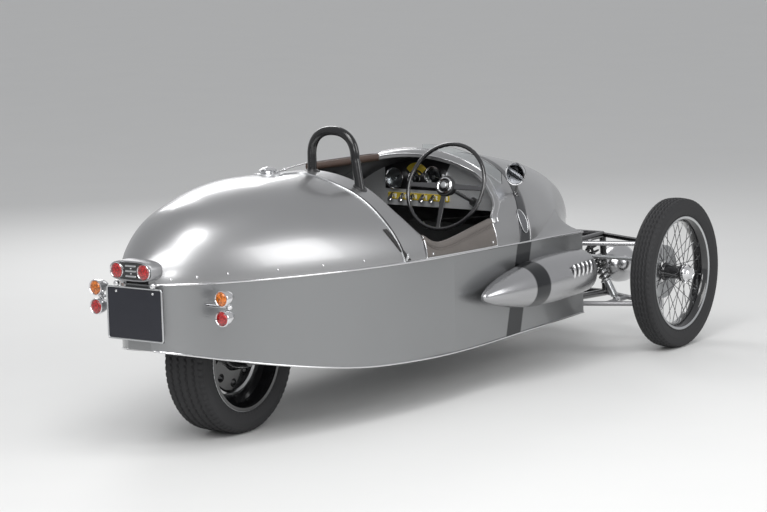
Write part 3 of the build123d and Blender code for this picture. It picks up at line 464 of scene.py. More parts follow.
def upperBody(y, turn, lift=0.0):
    # Superelliptic arch over the plan: across = half * cos^(2/n), up = waist + rise * sin^(2/n).
    # y is behind the rear axle; turn runs from 0 on the left waist to pi on the right one.
    half, spring, crown = bodyPlan(y) + lift, waistHeight(y), bodyCrown(y) + lift
    power = 2 / bodyForm["archPower"]
    c, s = np.cos(turn), np.sin(turn)
    x = half * np.sign(c) * np.abs(c) ** power
    z = spring + (crown - spring) * np.abs(s) ** power
    return np.stack([x, rearAxleY + y + 0 * x, z], -1)


def tableEdge(table):
    # A panel's edge from a table of (turn in degrees, y).
    table = np.array(table, float)
    return lambda turn: smoothLine(np.radians(table[:, 0]), table[:, 1], turn)


def constant(value):
    # an edge at one y
    return lambda turn: value + 0.0 * turn


def patch(rear, front, low, high, rows, columns, lift=0.0):
    # Grid over the upper body between two edges: y = front + (rear - front) * s, at each turn.
    s, t = np.meshgrid(np.linspace(0, 1, rows), np.linspace(0, 1, columns), indexing="ij")
    turn = low + (high - low) * t
    y = front(turn) + (rear(turn) - front(turn)) * s
    return upperBody(y, turn, lift).reshape(-1, 3), gridQuads(rows, columns)


def panel(name, patches, finish, nodes=(), wall=None, slot="body_paint"):
    # Joins patches into one sheet-metal panel with a real wall.
    points, quads, count = [], [], 0
    for grid, faces in patches:
        points.append(grid)
        quads.append(faces + count)
        count += len(grid)
    piece = makePiece(name, np.concatenate(points), np.concatenate(quads), finish, slot=slot, merge=1e-5)
    thicken(piece, wall or bodyForm["skin"], -1.0)
    if nodes:
        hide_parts(*nodes)
    return piece


edges = {  # turn in degrees, y behind the rear axle
    "seam": [(0, -0.560), (20, -0.525), (31, -0.510), (46, -0.496), (53, -0.488), (62, -0.468), (71, -0.460),
             (90, -0.462), (109, -0.460), (118, -0.468), (127, -0.488), (134, -0.496), (149, -0.510), (160, -0.525),
             (180, -0.560)],
    "deckFront": [(70, -0.612), (125, -0.612), (135, -0.611), (143, -0.617), (150, -0.636), (158, -0.668),
                  (164, -0.700), (172, -0.703), (180, -0.712)],
    "opening": [(70, -1.290), (83, -1.318), (99.5, -1.352), (116, -1.380), (129, -1.392), (140, -1.356),
                (151.5, -1.308), (160, -1.24), (163, -1.236), (180, -1.225)],
    "bandRear": [(0, -1.424), (18, -1.46), (37, -1.544), (56, -1.638), (72, -1.686), (90, -1.70), (108, -1.686),
                 (124, -1.638), (143, -1.544), (161.5, -1.46), (180, -1.424)],
    "bandFront": [(0, -1.512), (18, -1.536), (36, -1.608), (57, -1.69), (74, -1.735), (90, -1.75), (106, -1.735),
                  (123, -1.69), (144, -1.608), (162, -1.536), (180, -1.512)],
    "tonneauFront": -1.30,
}
gap = bodyForm["gap"]
opened = bodyForm["cockpitTurn"]
seam, bandRear, bandFront = (tableEdge(edges[k]) for k in ("seam", "bandRear", "bandFront"))
deckFront, opening = tableEdge(edges["deckFront"]), tableEdge(edges["opening"])

panel("tailPanel", [patch(constant(bodyForm["tailEnd"]), lambda t: seam(t) + gap, 0.0, math.pi, 150, 140)],
      paint, ["tail_shell"])
panel("deckPanel", [patch(seam, constant(-0.70), 0.0, opened, 14, 50),
                    patch(seam, deckFront, opened, math.pi, 14, 90)], paint, ["rear_deck"])
panel("tonneauPanel", [patch(constant(-0.70 - gap), constant(edges["tonneauFront"]), 0.0, opened, 30, 50)],
      paint, ["tonneau"])
behindBand = lambda t: bandRear(t) + 0.0003
panel("scuttlePanel", [patch(constant(edges["tonneauFront"] - gap), behindBand, 0.0, opened, 30, 50),
                       patch(opening, behindBand, opened, math.pi, 30, 90)], paint, ["scuttle"])
panel("darkBand", [patch(bandRear, bandFront, 0.0, math.pi, 8, 120)], bandPaint)


def flareHeight(y):
    # The flared ledge's height along the bonnet: none at the band, most at the tub's front edge.
    return 0.096 * np.clip((-1.53 - y) / 0.43, 0.0, 1.0) ** 0.9


def bonnetSide(side):
    # The bonnet's foot: from the arch at the ledge's height, a hollow curve out to the tub's edge.
    # point = (1-t)^2 * top + 2 t (1-t) * corner + t^2 * edge.
    y, t = np.meshgrid(np.linspace(-1.535, -1.958, 40), np.linspace(0, 1, 16), indexing="ij")
    height = flareHeight(y) + 0.002
    half, spring, rise = bodyPlan(y), waistHeight(y), bodyCrown(y) - waistHeight(y)
    power = bodyForm["archPower"]
    share = height / rise
    top = half * (1 - share ** power) ** (1 / power) - 0.0012
    slope = share ** (power - 1) / (1 - share ** power) ** (1 - 1 / power) * half / rise
    corner = (top + slope * height * 0.80, spring + height * 0.20)
    edge = (0.5017 + 0 * y, spring + 0.003)
    x = (1 - t) ** 2 * top + 2 * t * (1 - t) * corner[0] + t ** 2 * edge[0]
    z = (1 - t) ** 2 * (spring + height) + 2 * t * (1 - t) * corner[1] + t ** 2 * edge[1]
    return np.stack([side * x, rearAxleY + y, z], -1).reshape(-1, 3), gridQuads(40, 16)


panel("bonnetPanel", [patch(lambda t: bandFront(t) - gap, constant(-2.555), 0.0, math.pi, 110, 120)], paint,
      ["bonnet"])
for side, word in bothSides:
    points, quads = bonnetSide(side)
    flare = makePiece("flare_" + word, points, quads, paint, slot="body_paint", merge=1e-6)
    thicken(flare, 0.0020, 0.0)
print("upper panels made")

# beads along the waist and the tub's foot
beads = {"radius": 0.0046, "foot": 0.0042, "count": 220, "end": bodyForm["tailEnd"] - 0.004, "crowding": 1.6}
share = 1 - np.linspace(0, 1, beads["count"]) ** beads["crowding"]
y = beads["end"] - (beads["end"] - bodyForm["tubFront"]) * share[::-1]
for side, word in bothSides:
    plan = np.where(y < -1.2, 0.502, bodyPlan(y))
    waistPath = np.stack([side * (plan + 0.002), rearAxleY + y, waistHeight(y)], -1)
    footPath = np.stack([side * (plan + 0.001), rearAxleY + y, bodyFloor(y)], -1)
    bead = sweep("waistBead_" + word, waistPath, circle(beads["radius"], 10), chrome, slot="bright")
    foot = sweep("footBead_" + word, footPath, circle(beads["foot"], 10), chrome, slot="bright")
    if side < 0:
        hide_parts("body_beads")
print("beads made")


def roundedTubes(starts, ends, radius, sides=8):
    # many straight tubes at once: point = start + (end - start) * t + radius * circle round the line
    starts, ends = np.asarray(starts, float), np.asarray(ends, float)
    along = ends - starts
    along /= np.linalg.norm(along, axis=1, keepdims=True)
    helper = np.where(np.abs(along[:, 2:]) < 0.9, [[0.0, 0, 1]], [[1.0, 0, 0]])
    first = np.cross(helper, along)
    first /= np.linalg.norm(first, axis=1, keepdims=True)
    second = np.cross(along, first)
    turn = np.linspace(0, 2 * np.pi, sides, endpoint=False)[None, :, None]
    ring = radius * (np.cos(turn) * first[:, None] + np.sin(turn) * second[:, None])
    points = np.stack([starts[:, None] + ring, ends[:, None] + ring], 1)
    quads = gridQuads(2, sides, False, True)
    step = np.arange(len(starts))[:, None, None] * 2 * sides
    caps = [[int(k * 2 * sides + c + j) for j in (range(sides)[::-1] if c == 0 else range(sides))]
            for k in range(len(starts)) for c in (0, sides)]
    return points.reshape(-1, 3), (quads[None] + step).reshape(-1, 4).tolist() + caps


def manyTurned(profile, places, axes, sides=16):
    # many like turned pieces in one: turnedPoints at each place, about its own axis
    points = [turnedPoints(profile, spot, axis, sides).reshape(-1, 3) for spot, axis in zip(places, axes)]
    quads = gridQuads(len(profile), sides, False, True)
    return np.concatenate(points), np.concatenate([quads + k * len(profile) * sides for k in range(len(points))])


def dome(radius, height, rings=6, foot=0.0):
    # profile of a low dome: radius * cos a, height * sin a
    angle = np.linspace(0, np.pi / 2, rings)
    arc = [(radius * math.cos(a), height * math.sin(a)) for a in angle]
    return [(radius, -foot)] * bool(foot) + arc[:-1] + [(0.0, height)]


# wheels
wheelForm = {
    "front": {"outer": 0.343, "rim": 0.2535, "width": 0.105, "crown": 0.034, "rimWidth": 0.084, "rows": 576,
              "ribs": (-0.0255, -0.0085, 0.0085, 0.0255), "groove": 0.0044, "depth": 0.0055, "teeth": 72,
              "swing": 0.0028, "wall": [(0.0, 0.40), (0.42, 0.47), (0.72, 0.50), (0.93, 0.495)], "shoulder": 0.040},
    "rear": {"outer": 0.3105, "rim": 0.213, "width": 0.195, "crown": 0.026, "rimWidth": 0.178, "rows": 576,
             "ribs": (-0.054, -0.018, 0.018, 0.054), "groove": 0.0060, "depth": 0.0065, "teeth": 72, "swing": 0.0036,
             "wall": [(0.0, 0.43), (0.42, 0.485), (0.72, 0.50), (0.93, 0.490)], "shoulder": 0.080},
}
wheelPlaces = [
    # name, kind, centre x, y, z, outward side, body
    ("right", "front", -0.7425, -1.3285, 0.343, -1, "front_wheel_right_body"),
    ("left", "front", 0.7425, -1.3285, 0.343, 1, "front_wheel_left_body"),
    ("rear", "rear", 0.0, 1.0535, 0.3105, -1, "rear_wheel_body"),
]


def wheelPoint(wheel, radius, turn, across):
    # about the wheel's axle: (x + side * across, y + radius cos, z + radius sin)
    _, _, x, y, z, side, _ = wheel
    return np.stack(np.broadcast_arrays(x + side * across, y + radius * np.cos(turn), z + radius * np.sin(turn)), -1)


def tyreShape(wheel):
    # section: rounded walls, then a flat crown; zigzag grooves run round the tread
    form = wheelForm[wheel[1]]
    width, outer, rim = form["width"], form["outer"], form["rim"]
    depth = outer - rim
    half = [(form["rimWidth"] / 2 - 0.010, rim - 0.006), (form["rimWidth"] / 2 - 0.007, rim + 0.001)]
    angle = np.linspace(-0.50, 1.0, 31) * np.pi / 2
    middle, reach = rim + depth * 0.56, width / 2
    for a in angle:
        r = middle + (outer - 0.004 - middle) * math.sin(a) if a > 0 else \
            middle + (middle - rim - 0.006) * math.sin(a) / math.sin(np.pi / 4)
        w = form["shoulder"] + (reach - form["shoulder"]) * math.cos(a) ** 0.9 if a > 0 else \
            reach - (reach - form["rimWidth"] / 2 + 0.004) * (1 - math.cos(a)) / (1 - math.cos(np.pi / 4))
        ridge = 0.0011 * sum(math.exp(-((a - spot) / 0.05) ** 2) for spot in (-0.55, 0.0, 0.62, 0.95))
        half.append((w + ridge, r))
    tread = np.linspace(form["shoulder"], 0, 23 if wheel[1] == "front" else 36)[1:]
    flat = [(w, outer - 0.004 * (w / form["shoulder"]) ** 2) for w in tread]
    right = np.array(half + flat)
    section = np.concatenate([right, right[-2::-1] * [-1, 1]])
    turn = np.linspace(0, 2 * np.pi, form["rows"], endpoint=False)[:, None]
    across, radius = section[None, :, 0], section[None, :, 1]
    zigzag = form["swing"] * (2 * np.abs(((turn * form["teeth"] / (2 * np.pi)) % 1) * 2 - 1) - 1)
    cut = 0.0
    for rib in form["ribs"]:
        distance = np.abs(across - rib - zigzag)
        cut = np.maximum(cut, 1 - np.clip((distance - form["groove"] * 0.45) / (form["groove"] * 0.6), 0, 1))
    notch = np.abs(np.abs(across) - form["shoulder"] * 1.06) < form["shoulder"] * 0.10
    teeth = (((turn * form["teeth"] / (2 * np.pi)) % 1) < 0.32)
    cut = np.maximum(cut, 0.55 * notch * teeth)
    return wheelPoint(wheel, radius - form["depth"] * cut, turn, across + 0 * turn), section.shape[0]


for wheel in wheelPlaces:
    word, kind = wheel[0], wheel[1]
    node = "rear_tyre" if kind == "rear" else "front_tyre_" + word
    points, columns = tyreShape(wheel)
    tyre = makePiece("tyre_" + word, points, gridQuads(wheelForm[kind]["rows"], columns, True), tyreRubber,
                     body=wheel[6], slot="tyre", merge=1e-7, flip=wheel[5] > 0)
    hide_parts(node)

rimForm = [
    # radius, across: outside lip round to the inside lip
    (0.2485, 0.036), (0.2535, 0.0375), (0.2580, 0.0390), (0.2590, 0.0410), (0.2575, 0.0420), (0.2500, 0.0400),
    (0.2430, 0.0330), (0.2360, 0.0240), (0.2315, 0.0150), (0.2300, 0.0),
    (0.2315, -0.0150), (0.2360, -0.0240), (0.2430, -0.0330), (0.2500, -0.0400), (0.2575, -0.0420), (0.2590, -0.0410),
    (0.2580, -0.0390), (0.2535, -0.0375), (0.2485, -0.036), (0.2350, -0.012), (0.2340, 0.0), (0.2350, 0.012),
]
hubForm = [
    (0.0150, -0.052), (0.0420, -0.052), (0.0425, -0.046), (0.0340, -0.040), (0.0300, -0.020), (0.0300, 0.010),
    (0.0330, 0.030), (0.0385, 0.034), (0.0385, 0.040), (0.0330, 0.043), (0.0300, 0.050), (0.0150, 0.050),
]
capForm = [(0.0300, 0.046), (0.0400, 0.050), (0.0415, 0.056), (0.0405, 0.064), (0.0350, 0.070), (0.0300, 0.076),
           (0.0285, 0.083), (0.0265, 0.086), (0.0235, 0.0855), (0.0228, 0.0835), (0.0, 0.0845)]
spokeForm = {"pairs": 20, "rootRadius": 0.0335, "rimRadius": 0.2325, "thickness": 0.0017, "lean": 1.6}


def turnedOnAxle(name, wheel, profile, finish, sides=96, **settings):
    # a lathe piece about a wheel's own axle, outwards
    side = wheel[5]
    return lathe(name, profile, (wheel[2], wheel[3], wheel[4]), (side, 0, 0), finish, sides=sides,
                 body=wheel[6], **settings)


for wheel in wheelPlaces[:2]:
    word = wheel[0]
    rim = turnedOnAxle("rim_" + word, wheel, rimForm + rimForm[:1], blackTube, sides=160, slot="wheel_black")
    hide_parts("front_wheel_" + word)
    turnedOnAxle("rimRing_" + word, wheel, [(0.2495, 0.0398), (0.2580, 0.0432), (0.2600, 0.0424), (0.2597, 0.0404),
                                              (0.2580, 0.0412)], brushed, sides=160, slot="alloy")
    turnedOnAxle("hub_" + word, wheel, hubForm + hubForm[:1], blackTube, sides=64, slot="wheel_black")
    turnedOnAxle("hubCap_" + word, wheel, capForm, chrome, sides=48, slot="bright")
    step = 2 * np.pi / spokeForm["pairs"]
    starts, ends = [], []
    for pair in range(spokeForm["pairs"]):
        level = 0.040 if pair % 2 else -0.046
        for lean in (-1, 1):
            inner, outer = pair * step + lean * 0.02, pair * step + lean * step * spokeForm["lean"]
            starts.append(wheelPoint(wheel, spokeForm["rootRadius"], inner, level + lean * 0.0016))
            across = lean * 0.004 + (0.006 if pair % 2 else -0.006)
            ends.append(wheelPoint(wheel, spokeForm["rimRadius"], outer, across))
    points, faces = roundedTubes(starts, ends, spokeForm["thickness"], 8)
    # the wire spokes take the steel whose dark colour is a painted reflection
    makePiece("spokes_" + word, points, faces, spokeSteelPaintedShade, body=wheel[6], slot="wheel_black", sharp=50)
    turnedOnAxle("brakeDisc_" + word, wheel, [(0.050, -0.0555), (0.122, -0.0555), (0.1225, -0.0562), (0.1225, -0.0608),
                                                (0.122, -0.0615), (0.076, -0.0615), (0.070, -0.066), (0.050, -0.066),
                                                (0.050, -0.0555)], brushed, sides=96, slot="alloy")
    # brake caliper on the upright, behind and above the axle
    knuckle = wheel[6].replace("front_wheel", "knuckle")
    mid = math.radians(48)
    swing, lie = np.meshgrid(np.linspace(-1, 1, 20), np.linspace(0, 2 * np.pi, 20, endpoint=False), indexing="ij")
    fat = (1 - swing ** 4 * 0.35)
    reach = 0.112 + 0.021 * fat * np.sign(np.cos(lie)) * np.abs(np.cos(lie)) ** 0.55
    across = -0.0585 + 0.0155 * fat * np.sign(np.sin(lie)) * np.abs(np.sin(lie)) ** 0.55
    makePiece("brakeCaliper_" + word, wheelPoint(wheel, reach, mid + swing * 0.42, across),
              cappedTube(20, 20), dullAlloy, body=knuckle, slot="alloy", merge=1e-7, sharp=60)
    stays, stayEnds = [], []
    for bend in (-0.3, 0.3):
        stays.append(wheelPoint(wheel, 0.098, mid + bend, -0.066))
        stayEnds.append(wheelPoint(wheel, 0.030, mid + bend, -0.080))
    points, faces = roundedTubes(stays, stayEnds, 0.0065, 12)
    makePiece("brakeStays_" + word, points, faces, dullAlloy, body=knuckle, slot="alloy", sharp=50)
    ends = np.array(ends)
    inward = np.array(starts) - ends
    inward /= np.linalg.norm(inward, axis=1, keepdims=True)
    points, faces = roundedTubes(ends, ends + inward * 0.016, 0.0030, 8)
    makePiece("spokeEnds_" + word, points, faces, brushed, body=wheel[6], slot="alloy", sharp=50)
    # three ears on the cap
    turn, reach = np.meshgrid(np.linspace(0, 2 * np.pi, 14, endpoint=False), np.linspace(0, 1, 9), indexing="ij")
    for number in (0, 1, 2):
        spin = math.radians(70 + 120 * number)
        thick, tall = 0.0085 * (1 - reach * 0.45), 0.010 * (1 - reach ** 2 * 0.5)
        across = 0.062 + 0.008 * reach + tall * np.sin(turn) * 0.9
        radius = 0.030 + 0.026 * reach
        shift = thick * np.cos(turn)
        points = wheelPoint(wheel, radius, spin + shift / radius, across)
        makePiece(f"capEar{number}_{word}", points, cappedBand(14, 9), chrome, body=wheel[6], slot="bright", merge=1e-7)

rear = wheelPlaces[2]
turnedOnAxle("rearRimRing", rear, [(0.2085, 0.0845), (0.2190, 0.0890), (0.2212, 0.0880), (0.2205, 0.0850),
                                   (0.2150, 0.0862)], brushed, sides=160, slot="alloy")
turnedOnAxle("rearInnerRing", rear, [(0.142, 0.014), (0.152, 0.019), (0.160, 0.017), (0.162, 0.010), (0.150, 0.008),
                                     (0.142, 0.014)], chrome, sides=128, slot="bright")
print("wheels made")

# steering wheel
steering = {
    "hub": (-0.24, -0.1965, 0.853),
    "slope": math.radians(23.5),
    "radius": 0.191,
    "tube": 0.0085,
    "spokes": (0.0, math.pi, 1.5 * math.pi),
}
wheelAxis = (0.0, math.cos(steering["slope"]), math.sin(steering["slope"]))
acrossWheel = np.array([1.0, 0, 0])
upWheel = np.array([0.0, -math.sin(steering["slope"]), math.cos(steering["slope"])])


def onWheel(radius, turn, lift):
    # centre + radius * (cos across + sin up) + lift * axis
    radius, turn, lift = np.broadcast_arrays(radius, turn, lift)
    return (np.array(steering["hub"]) + radius[..., None] * (np.cos(turn)[..., None] * acrossWheel
            + np.sin(turn)[..., None] * upWheel) + lift[..., None] * np.array(wheelAxis))


turn, ring = np.meshgrid(np.linspace(0, 2 * np.pi, 180, endpoint=False),
                         np.linspace(0, 2 * np.pi, 24, endpoint=False), indexing="ij")
grip = steering["tube"] * (1 + 0.06 * np.cos(ring * 2))
scallop = 0.0007 * np.sin(turn * 40) * (np.sin(ring) < 0.2)
rimPiece = makePiece("steeringRim", onWheel(steering["radius"] + (grip - scallop) * np.cos(ring), turn,
                                            grip * np.sin(ring)), gridQuads(180, 24, True, True),
                     blackTube, body="steering_wheel_body", slot="black_part", merge=1e-7)
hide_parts("steering_wheel")
for number, angle in enumerate(steering["spokes"]):
    along, edge = np.meshgrid(np.linspace(0.030, 0.188, 24), np.linspace(0, 2 * np.pi, 20, endpoint=False),
                              indexing="ij")
    wide = 0.0135 - 0.0035 * (along - 0.03) / 0.158 + 0.004 * np.clip((along - 0.165) / 0.023, 0, 1) ** 2
    side = wide * np.sign(np.cos(edge)) * np.abs(np.cos(edge)) ** 0.45
    lift = 0.0022 * np.sign(np.sin(edge)) * np.abs(np.sin(edge)) ** 0.45 + 0.004 - 0.004 * (along - 0.03) / 0.158
    radius = np.hypot(along, side)
    points = onWheel(radius, angle + np.arctan2(side, along), lift)
    # the two side spokes take the steel whose dark colour is a painted reflection; the lower one is black enamel
    makePiece(f"steeringSpoke{number}", points, cappedTube(24, 20), blackTube if number == 2 else spokeSteelPaintedShade,
              body="steering_wheel_body", slot="bright", merge=1e-7, sharp=60)
hubParts = [
    ("steeringBoss", [(0.0, -0.038), (0.030, -0.038), (0.034, -0.030), (0.034, -0.008), (0.045, -0.004),
                      (0.0465, 0.004), (0.044, 0.010), (0.036, 0.012), (0.0, 0.012)], blackPart, "black_part"),
    ("steeringRing", [(0.026, 0.011), (0.0275, 0.016), (0.032, 0.019), (0.037, 0.016), (0.0385, 0.011)],
     chrome, "bright"),
    ("steeringButton", [(0.026, 0.010), (0.0255, 0.015), (0.022, 0.019), (0.013, 0.0215), (0.0, 0.0225)], blackTube,
     "black_part"),
    ("steeringEmblem", [(0.0145, 0.0205), (0.0150, 0.0222), (0.013, 0.0232), (0.0, 0.0240)], brushed, "bright"),
]
for name, profile, finish, slot in hubParts:
    lathe(name, profile, steering["hub"], wheelAxis, finish, sides=64, body="steering_wheel_body", slot=slot)
end = np.array(steering["hub"]) - np.array(wheelAxis) * 1.155
rod("steeringShaft", [np.array(steering["hub"]) - np.array(wheelAxis) * 0.03, end], 0.0088, brushed, sides=20,
    body="steering_wheel_body", slot="bright")
print("steering made")

# coaming round the front of the opening: a hooded band, with fine bright edges
coaming = {
    "width": 0.042,
    "low": 72.0,
    "high": 163.0,
    # turn in degrees, how far the band's front edge stands off the body
    "stand": [(72, 0.030), (95, 0.034), (115, 0.028), (130, 0.018), (145, 0.010), (163, 0.006)],
    "inner": [(72, 0.012), (95, 0.012), (115, 0.012), (130, 0.012), (145, 0.010), (163, 0.007)],
}
turn = np.linspace(math.radians(coaming["low"]), math.radians(coaming["high"]), 110)
stand, inner = tableEdge(coaming["stand"])(turn), tableEdge(coaming["inner"])(turn)
s = np.linspace(0, 1, 12)[:, None]
bulge = 0.006 * np.sin(np.pi * s)
y = opening(turn)[None] - coaming["width"] * s
lift = inner[None] + (stand - inner)[None] * s ** 1.5 + bulge
points = upperBody(y, np.broadcast_to(turn, y.shape), lift)
under = upperBody(y[::-1] + 0.001, np.broadcast_to(turn, y.shape), -0.0005)
band = np.concatenate([points, under], 0)
makePiece("coaming", band, cappedBand(24, 110), paint, slot="body_paint", merge=1e-7, sharp=50)
rod("coamingFrontEdge", points[-1], 0.0026, chrome, sides=8, slot="bright")
rod("coamingRearEdge", points[0], 0.0026, chrome, sides=8, slot="bright")
print("coaming made")


def blob(name, centre, along, across, up, finish, taper=0.0, power=0.8, rows=18, sides=24, **settings):
    # superellipsoid: centre + along * u + (across * cos + up * sin) * (1 - u^2)^(power/2), thinner towards its far end
    u, turn = np.meshgrid(np.sin(np.linspace(-np.pi / 2, np.pi / 2, rows)),
                          np.linspace(0, 2 * np.pi, sides, endpoint=False), indexing="ij")
    fat = np.maximum(1 - u ** 2, 0) ** (power / 2) * (1 - taper * (u + 1) / 2)
    points = (np.asarray(centre, float) + u[..., None] * np.asarray(along, float)
              + (fat * np.cos(turn))[..., None] * np.asarray(across, float)
              + (fat * np.sin(turn))[..., None] * np.asarray(up, float))
    return makePiece(name, points, gridQuads(rows, sides, False, True), finish, merge=1e-6, **settings)


def roundedBar(name, low, high, radius, finish, sides=40, bevel=0.0015, **settings):
    # a flat bar standing on the dash or plate: rounded outline in x and z, softened front and back edges
    (x0, y0, z0), (x1, y1, z1) = low, high
    turn = np.linspace(0, 2 * np.pi, sides, endpoint=False)
    cx = np.where(np.cos(turn) > 0, x1 - radius, x0 + radius)
    cz = np.where(np.sin(turn) > 0, z1 - radius, z0 + radius)
    rings = []
    for y, inset in ((y0, bevel), (y0 + bevel, 0.0), (y1 - bevel, 0.0), (y1, bevel)):
        x = cx + (radius - inset) * np.cos(turn)
        z = cz + (radius - inset) * np.sin(turn)
        rings.append(np.stack([x, np.full(sides, y), z], -1))
    settings.setdefault("sharp", 45)
    return makePiece(name, np.concatenate(rings), cappedTube(4, sides), finish, merge=1e-6, **settings)


# dash: brushed plate with a black middle, three dials, a brass plate and a row of switches
dash = {
    "face": rearAxleY - 1.486,
    # x, height, outer radius
    "dials": [(0.173, 0.844, 0.049), (0.067, 0.846, 0.035), (-0.036, 0.861, 0.048)],
    "depth": 0.030,
    "ticks": 24,
    "sweep": (-135.0, 135.0),
    "needles": (-60.0, 20.0, -105.0),
    "switchFirst": 0.198,
    "switchLast": -0.076,
    "switches": 6,
    "switchHeight": 0.762,
    "blackLow": 0.793,
    "blackLeft": 0.238,
    "blackRight": -0.092,
    "slantFrom": 0.88,
    "slant": 0.55,
}
dashFinish = Finish("dashPlate", Metallic=1.0)
x, y, z = dashFinish.coords()
slanted = x + (z - dash["slantFrom"]) * dash["slant"]
black = ((x < dash["blackLeft"]) * (slanted > dash["blackRight"]) * (z > dash["blackLow"])).smooth(0.4, 0.6)
stretched = dashFinish.add("Mapping", {}, Vector=dashFinish.add("TexCoord").outputs["Object"], Scale=(0.05, 1.0, 1.0))
brush = dashFinish.noise(420.0, 3.0, stretched.outputs[0])
dashFinish.put(Base_Color=dashFinish.mix(black, dashFinish.mix(brush, (0.68, 0.69, 0.70), (0.82, 0.83, 0.84)),
                                         (0.012, 0.012, 0.013)),
               Roughness=0.30 + brush * 0.16, Metallic=0.55 - black * 0.45)
frame["nodes"]["dash_panel"].data.materials[0] = dashFinish.material
dialFace = gloss("dialFace", (0.020, 0.021, 0.023), 0.30, 0.6)
dialSilver = plainMetal("dialSilver", (0.55, 0.56, 0.58), 0.32, 0.05, 30.0)
ivory = gloss("paleMark", (0.75, 0.74, 0.68), 0.4, 0.1)
brass = gloss("brassPlate", (0.74, 0.56, 0.06), 0.26, 0.4, 0.35)
wheelSide = (0.0, 1.0, 0.0)
for number, (x, z, radius) in enumerate(dash["dials"]):
    spot = (x, dash["face"], z)
    deep = dash["depth"]
    ring = lathe(f"dialRing{number}", [(radius - 0.006, 0.0), (radius - 0.001, 0.0), (radius - 0.001, deep - 0.008),
                                       (radius, deep - 0.003), (radius - 0.002, deep), (radius - 0.005, deep + 0.0005),
                                       (radius - 0.008, deep - 0.003), (radius - 0.009, deep - 0.010),
                                       (radius - 0.009, 0.004)], spot, wheelSide, chrome, sides=96, slot="bright")
    if number == 0:
        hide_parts("gauges")
    inner = radius - 0.0088
    lathe(f"dialFace{number}", [(0.0, 0.014), (inner * 0.30, 0.0142), (inner * 0.34, 0.0152), (inner * 0.66, 0.0152),
                                (inner * 0.70, 0.0142), (inner, 0.0142)], spot, wheelSide,
          dialSilver if number == 0 else dialFace, sides=64, slot="black_part")
    lathe(f"dialGlass{number}", [(inner, 0.021), (inner * 0.75, 0.0232), (inner * 0.4, 0.0246), (0.0, 0.0250),
                                 (0.0, 0.0262), (inner * 0.4, 0.0258), (inner * 0.75, 0.0244), (inner, 0.0222),
                                 (inner, 0.021)], spot, wheelSide, screenGlass, sides=48, slot="glass")
    angle = np.radians(90 - np.linspace(*dash["sweep"], dash["ticks"] + 1))
    longer = np.where(np.arange(dash["ticks"] + 1) % 4 == 0, 0.78, 0.86)
    tick = lambda share: np.stack([x + inner * share * np.cos(angle), np.full(len(angle), dash["face"] + 0.0158),
                                   z + inner * share * np.sin(angle)], -1)
    points, faces = roundedTubes(tick(longer), tick(0.94 + 0 * longer), 0.0006, 5)
    makePiece(f"dialTicks{number}", points, faces, blackPart if number == 0 else ivory, slot="black_part")
    turn = math.radians(90 - dash["needles"][number])
    path = [(x + inner * t * math.cos(turn), dash["face"] + 0.0180, z + inner * t * math.sin(turn))
            for t in (-0.22, 0.0, 0.3, 0.6, 0.84)]
    sweep(f"dialNeedle{number}", path, [(-0.0011, -0.0005), (0.0011, -0.0005), (0.0011, 0.0005), (-0.0011, 0.0005)],
          ivory if number else blackPart, up=(0, 1, 0), slot="black_part")
    lathe(f"dialPin{number}", [(0.0060, 0.0140), (0.0060, 0.0190), (0.0045, 0.0205), (0.0, 0.0210)], spot, wheelSide,
          chrome, sides=32, slot="bright")

arcTurn, arcRise = np.meshgrid(np.radians(np.linspace(38, 142, 40)), np.linspace(0, 1, 10), indexing="ij")
inner, outer = 0.0385, 0.0700
radius = inner + (outer - inner) * arcRise
archX = 0.067 + radius * np.cos(arcTurn) * (1 - 0.06 * arcRise)
archZ = 0.846 + radius * np.sin(arcTurn)
archY = dash["face"] + 0.004 + 0.0025 * np.sin(np.pi * arcRise) ** 0.5
front = np.stack([archX, archY, archZ], -1)
back = np.stack([archX, np.full_like(archX, dash["face"] - 0.0005), archZ], -1)
shape = np.concatenate([front, back[:, ::-1]], 1)
makePiece("brassArch", shape, cappedTube(40, 20), brass, slot="bright", merge=1e-6, sharp=50)
roundedBar("switchStrip", (-0.104, dash["face"] - 0.001, 0.746), (0.224, dash["face"] + 0.004, 0.778), 0.008,
           brass, slot="bright")
switchX = np.linspace(dash["switchFirst"], dash["switchLast"], dash["switches"])
places = [(x, dash["face"] + 0.003, dash["switchHeight"] + 0.004) for x in switchX]
points, quads = manyTurned([(0.0105, 0.0), (0.0105, 0.004), (0.0080, 0.007), (0.0060, 0.013), (0.0, 0.014)], places,
                           [wheelSide] * len(places), 28)
makePiece("switchCollars", points, quads, chrome, slot="bright", merge=1e-6, sharp=40)
for number, (x, y, z) in enumerate(places):
    tilt = math.radians(-52 if number % 2 else -44)
    along = np.array([0.0, math.cos(tilt), math.sin(tilt)])
    up = np.array([0.0, -math.sin(tilt), math.cos(tilt)])
    blob(f"switchLever{number}", np.array([x, y + 0.010, z]) + along * 0.014, along * 0.019, (0.0095, 0, 0),
         up * 0.0038, chrome, taper=-0.35, power=0.7, slot="bright")
    roundedBar(f"switchPatch{number}", (x - 0.021, dash["face"] + 0.0035, z - 0.014),
               (x - 0.012, dash["face"] + 0.0052, z + 0.006), 0.003, ivory, sides=16, bevel=0.0005, slot="bright")
print("dash made")

# elbow pad: a leather panel on the body's side, with a padded roll along its dished top
padForm = {
    "front": -1.237, "back": -0.703, "foot": 0.0065, "thick": 0.020, "roll": 0.0165,
    # y behind the rear axle, height of the roll's middle above the waist
    "top": [(-1.237, 0.104), (-1.10, 0.083), (-0.95, 0.058), (-0.86, 0.046), (-0.79, 0.045), (-0.745, 0.058),
            (-0.703, 0.084)],
}


